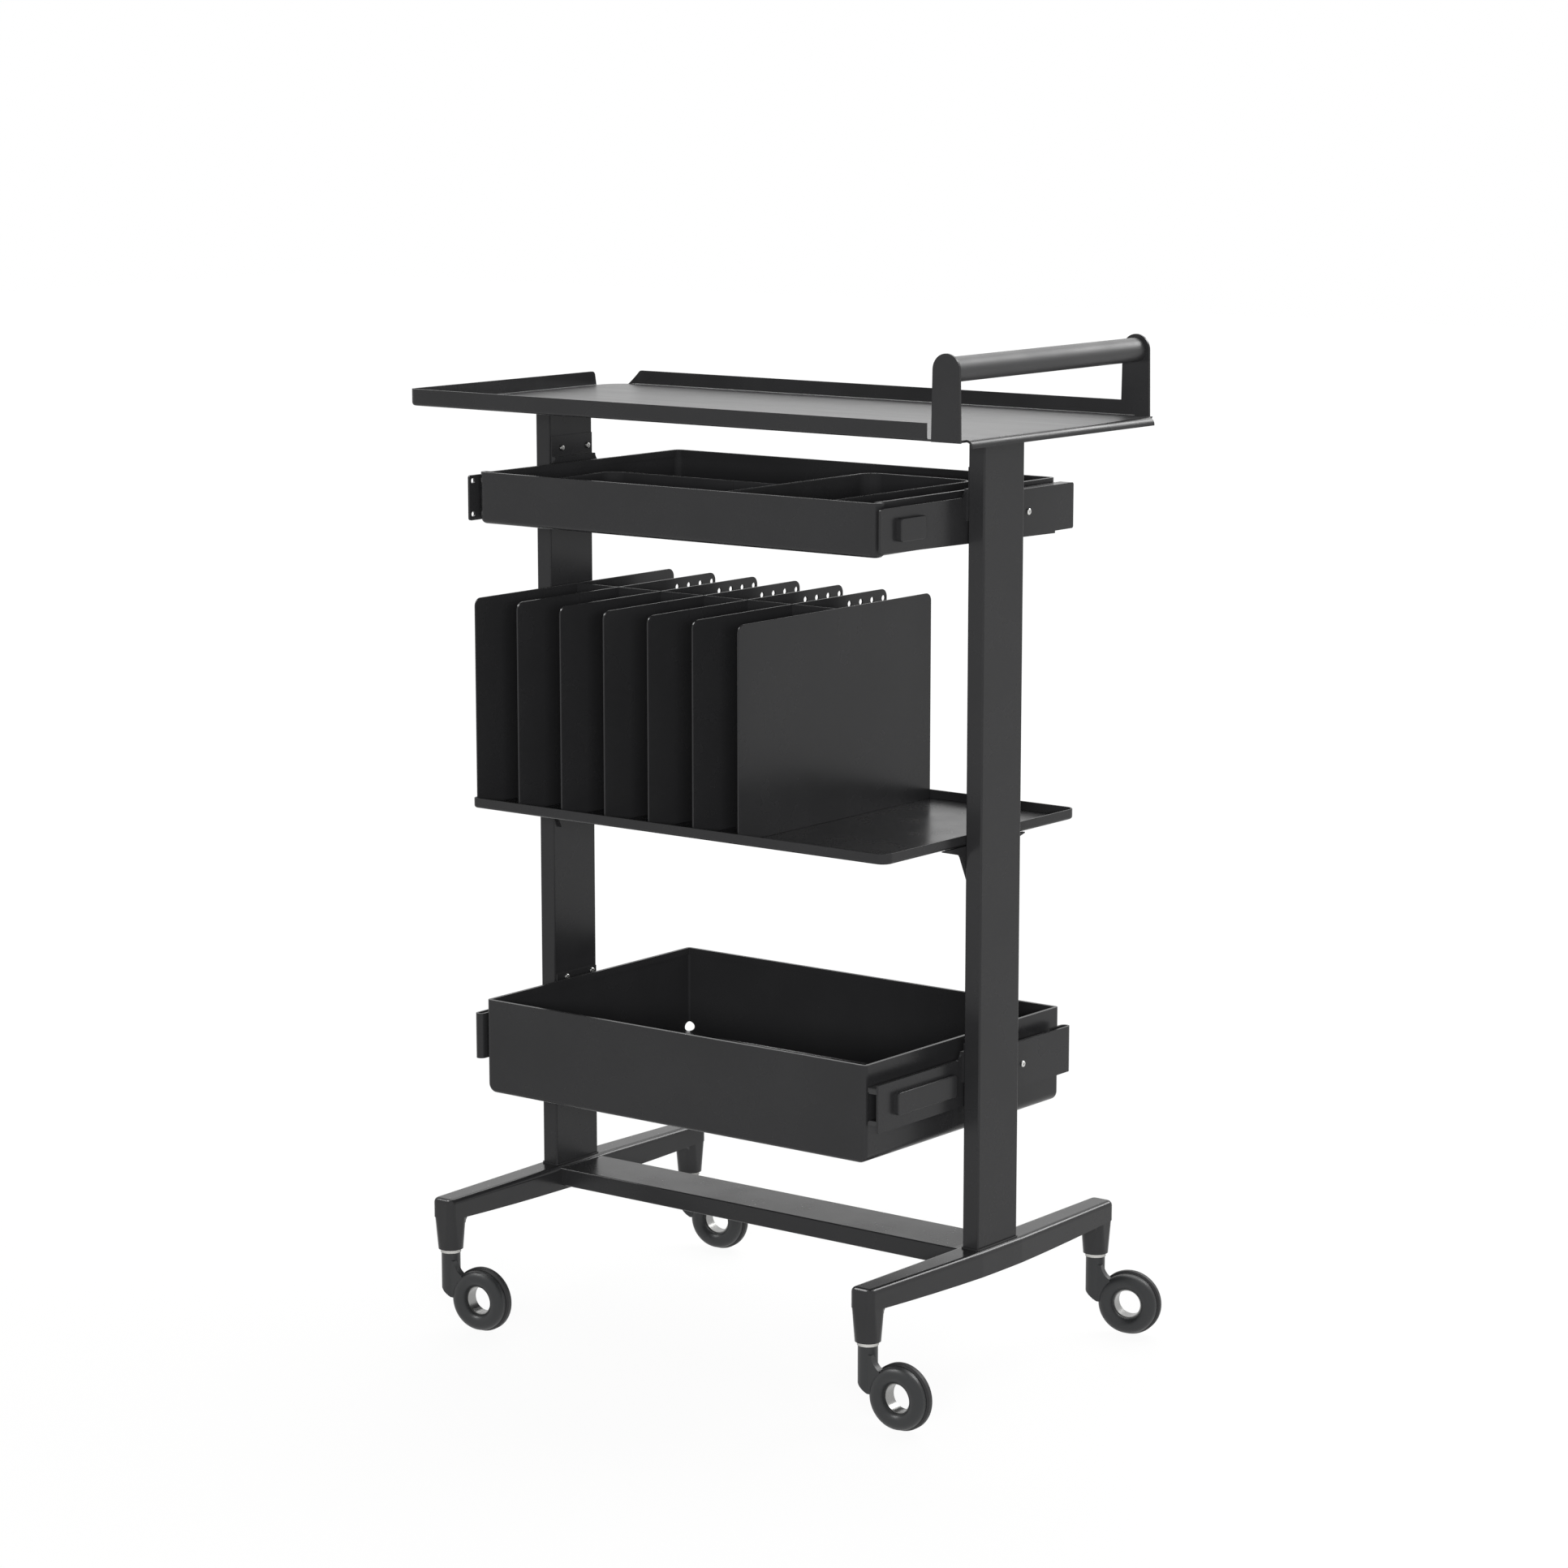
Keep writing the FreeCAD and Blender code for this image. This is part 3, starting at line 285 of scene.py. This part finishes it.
def shaded(colour, share):
    """A colour with its brightness changed by a share."""
    return tuple(channel * share for channel in colour[:3]) + (1.0,)


def coated_metal(name, colour, roughness, ior, peel_mm, stretch=(1.0, 1.0, 1.0), cloud_mm=60.0):
    """Thermoset coat over metal: fine orange peel, soft clouds in gloss and a slight change of tone."""
    gloss_swing = 0.05
    tone_swing = 0.14
    peel_strength = 0.07
    peel_height = 0.06 * MM
    material, tree = new_material(name)
    place = add_node(tree, "ShaderNodeTexCoord").outputs["Object"]
    along = add_node(tree, "ShaderNodeMapping", {"Vector": place, "Scale": stretch})
    peel = add_node(
        tree, "ShaderNodeTexNoise", {"Vector": place, "Scale": per_metre(peel_mm), "Detail": 2.0},
    )
    cloud = add_node(
        tree, "ShaderNodeTexNoise",
        {"Vector": along.outputs[0], "Scale": per_metre(cloud_mm), "Detail": 4.0, "Roughness": 0.55},
    )
    gloss = add_node(
        tree, "ShaderNodeMapRange",
        {"Value": cloud.outputs[0], "From Min": 0.3, "From Max": 0.7,
         "To Min": roughness - gloss_swing, "To Max": roughness + gloss_swing},
    )
    tone = add_node(
        tree, "ShaderNodeMix",
        {MIX_FACTOR: cloud.outputs[0],
         MIX_FIRST: shaded(colour, 1 - tone_swing), MIX_SECOND: shaded(colour, 1 + tone_swing)},
        data_type="RGBA",
    )
    bump = add_node(
        tree, "ShaderNodeBump",
        {"Height": peel.outputs[0], "Strength": peel_strength, "Distance": peel_height},
    )
    shader = add_node(
        tree, "ShaderNodeBsdfPrincipled",
        {"Base Color": tone.outputs[MIX_COLOUR], "Roughness": gloss.outputs[0], "IOR": ior,
         "Normal": bump.outputs[0]},
    )
    add_node(tree, "ShaderNodeOutputMaterial", {"Surface": shader.outputs[0]})
    return material


def moulded_plastic(name, colour, roughness, ior, grain_mm):
    """Injection moulded plastic: an even colour under a fine spark-eroded grain."""
    flow_mm = 14.0
    gloss_swing = 0.06
    tone_swing = 0.1
    grain_strength = 0.15
    grain_height = 0.05 * MM
    material, tree = new_material(name)
    place = add_node(tree, "ShaderNodeTexCoord").outputs["Object"]
    grain = add_node(
        tree, "ShaderNodeTexNoise", {"Vector": place, "Scale": per_metre(grain_mm), "Detail": 3.0},
    )
    flow = add_node(
        tree, "ShaderNodeTexNoise", {"Vector": place, "Scale": per_metre(flow_mm), "Detail": 2.0},
    )
    tone = add_node(
        tree, "ShaderNodeMix",
        {MIX_FACTOR: flow.outputs[0],
         MIX_FIRST: shaded(colour, 1 - tone_swing), MIX_SECOND: shaded(colour, 1 + tone_swing)},
        data_type="RGBA",
    )
    gloss = add_node(
        tree, "ShaderNodeMapRange",
        {"Value": flow.outputs[0], "To Min": roughness - gloss_swing, "To Max": roughness + gloss_swing},
    )
    bump = add_node(
        tree, "ShaderNodeBump",
        {"Height": grain.outputs[0], "Strength": grain_strength, "Distance": grain_height},
    )
    shader = add_node(
        tree, "ShaderNodeBsdfPrincipled",
        {"Base Color": tone.outputs[MIX_COLOUR], "Roughness": gloss.outputs[0], "IOR": ior,
         "Normal": bump.outputs[0]},
    )
    add_node(tree, "ShaderNodeOutputMaterial", {"Surface": shader.outputs[0]})
    return material


def bright_metal(name, colour, roughness, mark_mm):
    """Plated or turned steel: bright, with fine marks that break up its reflections."""
    gloss_swing = 0.08
    mark_tone = 0.85
    material, tree = new_material(name)
    place = add_node(tree, "ShaderNodeTexCoord").outputs["Object"]
    marks = add_node(
        tree, "ShaderNodeTexNoise", {"Vector": place, "Scale": per_metre(mark_mm), "Detail": 3.0},
    )
    tone = add_node(
        tree, "ShaderNodeMix",
        {MIX_FACTOR: marks.outputs[0], MIX_FIRST: shaded(colour, mark_tone), MIX_SECOND: colour},
        data_type="RGBA",
    )
    gloss = add_node(
        tree, "ShaderNodeMapRange",
        {"Value": marks.outputs[0], "To Min": roughness - gloss_swing, "To Max": roughness + gloss_swing},
    )
    shader = add_node(
        tree, "ShaderNodeBsdfPrincipled",
        {"Base Color": tone.outputs[MIX_COLOUR], "Roughness": gloss.outputs[0], "Metallic": 1.0},
    )
    add_node(tree, "ShaderNodeOutputMaterial", {"Surface": shader.outputs[0]})
    return material


def material_named(name, maker, colour, **values):
    """The material of that name, made on first use."""
    return bpy.data.materials.get(name) or maker(name, colour, **values)


def sheet_coat():
    """Satin polyester powder coat on folded steel: dark, soft highlights, an even fine peel."""
    return material_named(
        "satin_powder_coat", coated_metal, finishes().coat, roughness=0.26, ior=1.28, peel_mm=SHEET_PEEL,
    )


def wiped_coat():
    """The same coat on the tray, wiped along its length: long faint streaks in the gloss."""
    return material_named(
        "wiped_powder_coat", coated_metal, finishes().coat, roughness=0.38, ior=1.55, peel_mm=SHEET_PEEL,
        stretch=(0.25, 1.6, 1.0), cloud_mm=40.0,
    )


def handled_coat():
    """The same coat on the handle, dulled by hands: a wide soft highlight along the tube."""
    return material_named(
        "handled_powder_coat", coated_metal, finishes().coat, roughness=0.46, ior=1.45, peel_mm=SHEET_PEEL,
    )


def casting_coat():
    """Coat on sand cast aluminium: smoother than on sheet, with a rounder highlight."""
    return material_named(
        "coated_aluminium_casting", coated_metal, finishes().casting,
        roughness=0.2, ior=1.32, peel_mm=CASTING_PEEL,
    )


def slide_coat():
    """Black electrophoretic coat on slide steel: thin, flat and darker than the powder coat."""
    return material_named(
        "black_slide_coat", coated_metal, shaded(finishes().coat, share=0.7),
        roughness=0.45, ior=1.4, peel_mm=SLIDE_PEEL,
    )


def caster_plastic():
    """Glass filled black nylon: moulded, with a dull grained skin."""
    return material_named(
        "black_nylon", moulded_plastic, finishes().nylon, roughness=0.42, ior=1.45, grain_mm=MOULD_GRAIN,
    )


def wheel_core():
    """Black polypropylene wheel core: a little glossier than the nylon."""
    return material_named(
        "black_polypropylene", moulded_plastic, shaded(finishes().nylon, share=0.9),
        roughness=0.38, ior=1.45, grain_mm=MOULD_GRAIN,
    )


def tyre_rubber():
    """Thermoplastic rubber tyre: dull and even, with a light bloom in its gloss."""
    return material_named(
        "black_tyre_rubber", moulded_plastic, finishes().rubber,
        roughness=0.55, ior=1.45, grain_mm=TYRE_GRAIN,
    )


def bearing_plastic():
    """Natural acetal: pale, slightly waxy bearing plastic."""
    return material_named(
        "natural_acetal", moulded_plastic, finishes().pale, roughness=0.35, ior=1.48, grain_mm=MOULD_GRAIN,
    )


def runner_plastic():
    """Black acetal runners in the slides: a smooth, slightly waxy black."""
    return material_named(
        "black_acetal", moulded_plastic, finishes().rubber, roughness=0.35, ior=1.48, grain_mm=MOULD_GRAIN,
    )


def zinc_plate():
    """Bright zinc plate on screws: a pale grey metal with soft reflections."""
    return material_named("bright_zinc_plate", bright_metal, finishes().zinc, roughness=0.34, mark_mm=0.7)


def turned_steel():
    """Turned steel sleeve: a mid grey metal with fine tool marks."""
    return material_named(
        "turned_steel", bright_metal, shaded(finishes().zinc, share=0.42), roughness=0.28, mark_mm=0.5,
    )


def give(piece, material):
    """Makes a material the only one of a piece."""
    piece.data.materials.clear()
    piece.data.materials.append(material)


def select_only(pieces):
    """Selects some objects alone and makes the first one active."""
    bpy.ops.object.select_all(action="DESELECT")
    for piece in pieces:
        piece.select_set(True)
    bpy.context.view_layer.objects.active = pieces[0]


def put_in_scene(name, data):
    """A new object with its data, in the scene."""
    made = bpy.data.objects.new(name, data)
    bpy.context.scene.collection.objects.link(made)
    return made


def edit_whole(operator, **settings):
    """Runs a mesh operator on the whole of the active object in edit mode."""
    bpy.ops.object.mode_set(mode="EDIT")
    bpy.ops.mesh.select_all(action="SELECT")
    operator(**settings)
    bpy.ops.object.mode_set(mode="OBJECT")


def apply_modifier(piece, name, kind, **settings):
    """Adds a modifier with its settings to the active object and applies it."""
    modifier = piece.modifiers.new(name, kind)
    for key, value in settings.items():
        setattr(modifier, key, value)
    bpy.ops.object.modifier_apply(modifier=modifier.name)


def body_of(node):
    """The body that a node moves with."""
    bodies = frame["record"]["behaviour"]["bodies"]
    return next(body for body, members in bodies.items() if node in members)


def stand_for(piece, node):
    """Lets a finished piece take a node's place."""
    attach(piece, body_of(node))
    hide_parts(node)


def merged_copy(node):
    """A copy of a node, alone selected, whose loose triangles are merged."""
    piece = put_in_scene(node + "_copy", frame["nodes"][node].data.copy())
    select_only([piece])
    edit_whole(bpy.ops.mesh.remove_doubles, threshold=MERGE_DISTANCE)
    return piece


def rounded_copy(node, width):
    """A copy of a folded sheet piece whose cut edges are rounded as the coat rounds them."""
    piece = merged_copy(node)
    piece.name = node + "_rounded"
    edit_whole(bpy.ops.mesh.dissolve_limited, angle_limit=FLAT_ANGLE)
    bpy.ops.mesh.customdata_custom_splitnormals_clear()
    apply_modifier(
        piece, "coat_round", "BEVEL", width=width, segments=ROUND_SEGMENTS,
        limit_method="ANGLE", angle_limit=CUT_EDGE_ANGLE, use_clamp_overlap=True,
    )
    bpy.ops.object.shade_smooth_by_angle(angle=SHEET_SMOOTH_ANGLE)
    apply_modifier(piece, "even_shade", "WEIGHTED_NORMAL", weight=LARGE_FACES_DECIDE, keep_sharp=True)
    return piece


def coat_sheets(nodes, material, width):
    """Replaces sheet pieces by rounded copies in one finish."""
    for node in nodes:
        piece = rounded_copy(node, width)
        give(piece, material)
        stand_for(piece, node)


def coat_nodes(nodes, material):
    """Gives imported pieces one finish."""
    for node in nodes:
        give(frame["nodes"][node], material)


class TROLLEY_OT_posts(bpy.types.Operator):
    """Coats the posts, their caps and the beam"""

    bl_idname = "trolley.posts"
    bl_label = "Posts and Beam"

    def execute(self, context):
        coat_nodes(TUBES, sheet_coat())
        return {"FINISHED"}


class TROLLEY_OT_feet(bpy.types.Operator):
    """Coats the two cast feet"""

    bl_idname = "trolley.feet"
    bl_label = "Cast Feet"

    def execute(self, context):
        coat_nodes(FEET, casting_coat())
        return {"FINISHED"}


def wipe_floor(tray):
    """Gives the level floor of the tray its wiped coat."""
    tray.data.materials.append(wiped_coat())
    low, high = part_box("top_tray")
    for face in tray.data.polygons:
        is_floor = face.normal.z > LEVEL_NORMAL and face.center.z < (low.z + high.z) / 2
        face.material_index = int(is_floor)


class TROLLEY_OT_tray(bpy.types.Operator):
    """Rounds and coats the top tray and coats its handle"""

    bl_idname = "trolley.tray"
    bl_label = "Top Tray and Handle"

    def execute(self, context):
        coat_sheets(("top_tray",), sheet_coat(), finishes().edge_round)
        wipe_floor(bpy.data.objects["top_tray_rounded"])
        coat_nodes(("handle_tube",), handled_coat())
        return {"FINISHED"}


class TROLLEY_OT_shelf(bpy.types.Operator):
    """Rounds and coats the shelf, its brackets and the rack"""

    bl_idname = "trolley.shelf"
    bl_label = "Shelf and Rack"

    def execute(self, context):
        coat_sheets(SHELF + RACK, sheet_coat(), finishes().edge_round)
        return {"FINISHED"}


class TROLLEY_OT_slides(bpy.types.Operator):
    """Rounds and coats the housings and finishes the slides and their runners"""

    bl_idname = "trolley.slides"
    bl_label = "Slides"

    def execute(self, context):
        coat_sheets(HOUSINGS, sheet_coat(), finishes().edge_round)
        coat_nodes(SLIDES, slide_coat())
        coat_nodes(("slide_runners",), runner_plastic())
        return {"FINISHED"}


class TROLLEY_OT_drawers(bpy.types.Operator):
    """Rounds and coats both drawers and the bins in the upper one"""

    bl_idname = "trolley.drawers"
    bl_label = "Drawers"

    def execute(self, context):
        coat_sheets(DRAWERS, sheet_coat(), finishes().hem_round)
        return {"FINISHED"}


class TROLLEY_OT_casters(bpy.types.Operator):
    """Gives the casters, wheels and washers their plastics, rubber and steel"""

    bl_idname = "trolley.casters"
    bl_label = "Casters"

    def execute(self, context):
        for corner in CORNERS:
            coat_nodes((f"caster_{corner}_body",), caster_plastic())
            coat_nodes((f"caster_{corner}_clip",), turned_steel())
            coat_nodes((f"wheel_{corner}_rim",), wheel_core())
            coat_nodes((f"wheel_{corner}_tyre",), tyre_rubber())
        coat_nodes(("caster_washers",), bearing_plastic())
        return {"FINISHED"}


def cross_cutter():
    """Two crossed bars, half sunk in a screw head, that cut the driver's recess."""
    length = 2 * CROSS_REACH_SHARE * screws().head_radius
    height = CROSS_HEIGHT_SHARE * screws().head_height
    bars = []
    for turn in (0, math.pi / 2):
        bpy.ops.mesh.primitive_cube_add(size=1)
        bar = bpy.context.object
        bar.scale = (length, screws().slot_width, height)
        bar.rotation_euler = (0, 0, turn)
        bar.location = (0, 0, screws().head_height)
        bars.append(bar)
    select_only(bars)
    bpy.ops.object.transform_apply(location=True, rotation=True, scale=True)
    return bars


def select_faces(piece, test):
    """Selects, in edit mode, the faces that pass a test."""
    bpy.ops.mesh.select_mode(type="FACE")
    bpy.ops.mesh.select_all(action="DESELECT")
    bpy.ops.object.mode_set(mode="OBJECT")
    for face in piece.data.polygons:
        face.select = test(face)
    bpy.ops.object.mode_set(mode="EDIT")


def pan_screw(shank_length):
    """A pan head screw along +Z, its seat at the origin, with a shank below and a cross recess above."""
    radius = screws().head_radius
    height = screws().head_height
    bpy.ops.object.select_all(action="DESELECT")
    bpy.ops.mesh.primitive_cylinder_add(
        vertices=HEAD_SIDES, radius=radius, depth=height, location=(0, 0, height / 2),
    )
    screw = bpy.context.object
    bpy.ops.object.transform_apply(location=True, rotation=True, scale=True)
    bpy.ops.object.mode_set(mode="EDIT")
    select_faces(screw, lambda face: face.normal.z > HEAD_END_NORMAL)
    bpy.ops.mesh.bevel(offset=DOME_SHARE * height, segments=DOME_SEGMENTS, affect="EDGES")
    select_faces(screw, lambda face: face.normal.z < -HEAD_END_NORMAL)
    bpy.ops.mesh.inset(thickness=radius - screws().shank_radius)
    bpy.ops.mesh.extrude_region_move(TRANSFORM_OT_translate={"value": (0, 0, -shank_length)})
    bpy.ops.object.mode_set(mode="OBJECT")
    for bar in cross_cutter():
        select_only([screw])
        apply_modifier(screw, "recess", "BOOLEAN", operation="DIFFERENCE", object=bar)
        bpy.data.objects.remove(bar)
    bpy.ops.object.shade_smooth_by_angle(angle=SCREW_SMOOTH_ANGLE)
    return screw


def set_screws(node, name, pattern, places):
    """Copies one screw to its places and lets the set stand for a node."""
    copies = []
    for x, y, z, heading in places:
        mesh = pattern.data.copy()
        turn = Matrix.Rotation(math.radians(90 * heading), 4, "Y")
        mesh.transform(Matrix.Translation((x, y, z)) @ turn)
        copies.append(put_in_scene(name, mesh))
    select_only(copies)
    bpy.ops.object.join()
    copies[0].name = name
    bpy.data.objects.remove(pattern)
    give(copies[0], zinc_plate())
    stand_for(copies[0], node)


def screw_boxes(node):
    """The lowest and highest corner of each screw in a node's set."""
    merged_copy(node)
    bpy.ops.mesh.separate(type="LOOSE")
    boxes = []
    for screw in list(bpy.context.selected_objects):
        axes = list(zip(*(vertex.co for vertex in screw.data.vertices)))
        boxes.append([Vector([pick(axis) for axis in axes]) for pick in (min, max)])
        bpy.data.objects.remove(screw)
    return boxes


def screw_places(node, heads_outward):
    """Seat of each screw of a node and the way that its head points along X."""
    places = []
    for low, high in screw_boxes(node):
        middle = (low + high) / 2
        heading = math.copysign(1, middle.x) * (1 if heads_outward else -1)
        head_end = high.x if heading > 0 else low.x
        places.append((head_end - heading * screws().head_height, middle.y, middle.z, heading))
    return places


class TROLLEY_OT_screws(bpy.types.Operator):
    """Models the pan head screws of housings, brackets and slides"""

    bl_idname = "trolley.screws"
    bl_label = "Screws"

    def execute(self, context):
        length = screws().shank_length
        for node, name in (("housing_screws", "ear_screws"), ("bracket_screws", "shelf_screws")):
            places = screw_places(node, heads_outward=False)
            set_screws(node, name, pan_screw(length), places)
        places = screw_places("slide_screws", heads_outward=True)
        set_screws("slide_screws", "rail_screws", pan_screw(screws().slide_shank_length), places)
        return {"FINISHED"}


def seen_directly(tree):
    """One where a ray comes from the camera, a reflection or a clear body, zero elsewhere."""
    path = add_node(tree, "ShaderNodeLightPath").outputs
    seen = add_node(
        tree, "ShaderNodeMath", {0: path["Is Camera Ray"], 1: path["Is Glossy Ray"]}, operation="MAXIMUM",
    )
    seen = add_node(
        tree, "ShaderNodeMath", {0: seen.outputs[0], 1: path["Is Transmission Ray"]}, operation="MAXIMUM",
    )
    return seen.outputs[0]


def white_room():
    """A white room round the trolley that is seen as white and lights softly."""
    white = (1, 1, 1, 1)
    world = bpy.data.worlds.new("white_room")
    # The room is even, so it is met by the rays themselves and each kind of ray gets its own strength.
    world.cycles.sampling_method = "NONE"
    bpy.context.scene.world = world
    world.use_nodes = True
    tree = world.node_tree
    tree.nodes.clear()
    soft = add_node(tree, "ShaderNodeBackground", {"Color": white, "Strength": studio().room_light})
    seen = add_node(tree, "ShaderNodeBackground", {"Color": white, "Strength": 1.0})
    both = add_node(
        tree, "ShaderNodeMixShader", {0: seen_directly(tree), 1: soft.outputs[0], 2: seen.outputs[0]},
    )
    add_node(tree, "ShaderNodeOutputWorld", {"Surface": both.outputs[0]})


def pale_floor():
    """A wide pale floor that looks white and keeps a light shadow under the trolley."""
    bpy.ops.object.select_all(action="DESELECT")
    bpy.ops.mesh.primitive_plane_add(size=FLOOR_SIZE)
    floor = bpy.context.object
    floor.name = "studio_floor"
    material, tree = new_material("white_paper_floor")
    # As with the room, the white is met by the rays themselves, and the floor isn't used as a lamp.
    material.cycles.emission_sampling = "NONE"
    paper = add_node(tree, "ShaderNodeBsdfDiffuse", {"Color": linear("#dededc")})
    white = add_node(tree, "ShaderNodeEmission", {"Strength": FLOOR_STRENGTH})
    place = add_node(tree, "ShaderNodeTexCoord").outputs["Object"]
    away = add_node(tree, "ShaderNodeVectorMath", {0: place}, operation="LENGTH").outputs["Value"]
    fade = add_node(
        tree, "ShaderNodeMapRange",
        {"Value": away, "From Min": SHADOW_REACH, "From Max": WHITE_REACH,
         "To Min": WHITE_SHARE_NEAR, "To Max": WHITE_SHARE_FAR},
    )
    share = add_node(
        tree, "ShaderNodeMath", {0: seen_directly(tree), 1: fade.outputs[0]}, operation="MULTIPLY",
    )
    both = add_node(
        tree, "ShaderNodeMixShader", {0: share.outputs[0], 1: paper.outputs[0], 2: white.outputs[0]},
    )
    add_node(tree, "ShaderNodeOutputMaterial", {"Surface": both.outputs[0]})
    give(floor, material)


def softbox(name, power, place, size, fills=True, shines=True):
    """A softbox that faces the trolley; it fills rough surfaces, shines in gloss, or does both."""
    light = bpy.data.lights.new(name, "AREA")
    light.shape = "RECTANGLE"
    light.size, light.size_y = size
    light.energy = power
    lamp = put_in_scene(name, light)
    lamp.visible_diffuse = fills
    lamp.visible_glossy = shines
    lamp.location = place
    lamp.rotation_euler = (Vector(LAMP_AIM) - Vector(place)).to_track_quat("-Z", "Y").to_euler()


def studio_lamps():
    """A light overhead, a fill in front and behind, and two strips that only shine in edges."""
    softbox("overhead_softbox", studio().overhead_power, OVERHEAD_PLACE, OVERHEAD_SIZE)
    softbox("front_softbox", studio().front_power, FRONT_PLACE, FILL_SIZE, shines=False)
    softbox("back_softbox", studio().back_power, BACK_PLACE, FILL_SIZE, shines=False)
    softbox("right_strip", studio().right_strip_power, RIGHT_STRIP_PLACE, STRIP_SIZE, fills=False)
    softbox("left_strip", studio().left_strip_power, LEFT_STRIP_PLACE, STRIP_SIZE, fills=False)


def photo_camera():
    """The camera at the photograph's place and angle."""
    data = bpy.data.cameras.new("photo_camera")
    data.sensor_width = SENSOR_WIDTH_MM
    data.lens = studio().lens
    data.shift_y = studio().camera_rise
    data.clip_end = VIEW_REACH
    camera = put_in_scene("photo_camera", data)
    camera.location = studio().camera_place
    camera.rotation_euler = (math.pi / 2 - studio().camera_pitch, 0, studio().camera_azimuth)
    bpy.context.scene.camera = camera


class TROLLEY_OT_stage(bpy.types.Operator):
    """Sets the floor, the light and the camera"""

    bl_idname = "trolley.stage"
    bl_label = "Studio"

    def execute(self, context):
        context.scene.view_settings.view_transform = "Standard"
        white_room()
        pale_floor()
        studio_lamps()
        photo_camera()
        return {"FINISHED"}


class TROLLEY_PT_panel(bpy.types.Panel):
    """Sidebar panel that lists the trolley's steps and settings"""

    bl_idname = "TROLLEY_PT_panel"
    bl_label = "Salon Trolley"
    bl_space_type = "VIEW_3D"
    bl_region_type = "UI"
    bl_category = "Trolley"

    def draw(self, context):
        for step in STEPS:
            self.layout.operator(step.bl_idname)
        for group in (finishes(), screws(), studio()):
            for name in group.__annotations__:
                self.layout.prop(group, name)


STEPS = (
    TROLLEY_OT_posts, TROLLEY_OT_feet, TROLLEY_OT_tray, TROLLEY_OT_shelf, TROLLEY_OT_slides,
    TROLLEY_OT_drawers, TROLLEY_OT_casters, TROLLEY_OT_screws, TROLLEY_OT_stage,
)
GROUPS = {
    "trolley_finishes": TrolleyFinishes, "trolley_screws": TrolleyScrews, "trolley_studio": TrolleyStudio,
}


def register():
    """Adds the classes and the scene's settings."""
    for group in GROUPS.values():
        bpy.utils.register_class(group)
    for name, group in GROUPS.items():
        setattr(bpy.types.Scene, name, bpy.props.PointerProperty(type=group))
    for step in STEPS + (TROLLEY_PT_panel,):
        bpy.utils.register_class(step)


def unregister():
    """Takes the classes and the scene's settings away."""
    for step in (TROLLEY_PT_panel,) + STEPS[::-1]:
        bpy.utils.unregister_class(step)
    for name, group in GROUPS.items():
        delattr(bpy.types.Scene, name)
        bpy.utils.unregister_class(group)


def main():
    """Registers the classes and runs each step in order."""
    register()
    for step in STEPS:
        group, name = step.bl_idname.split(".")
        getattr(getattr(bpy.ops, group), name)()


if __name__ == "__main__":
    main()
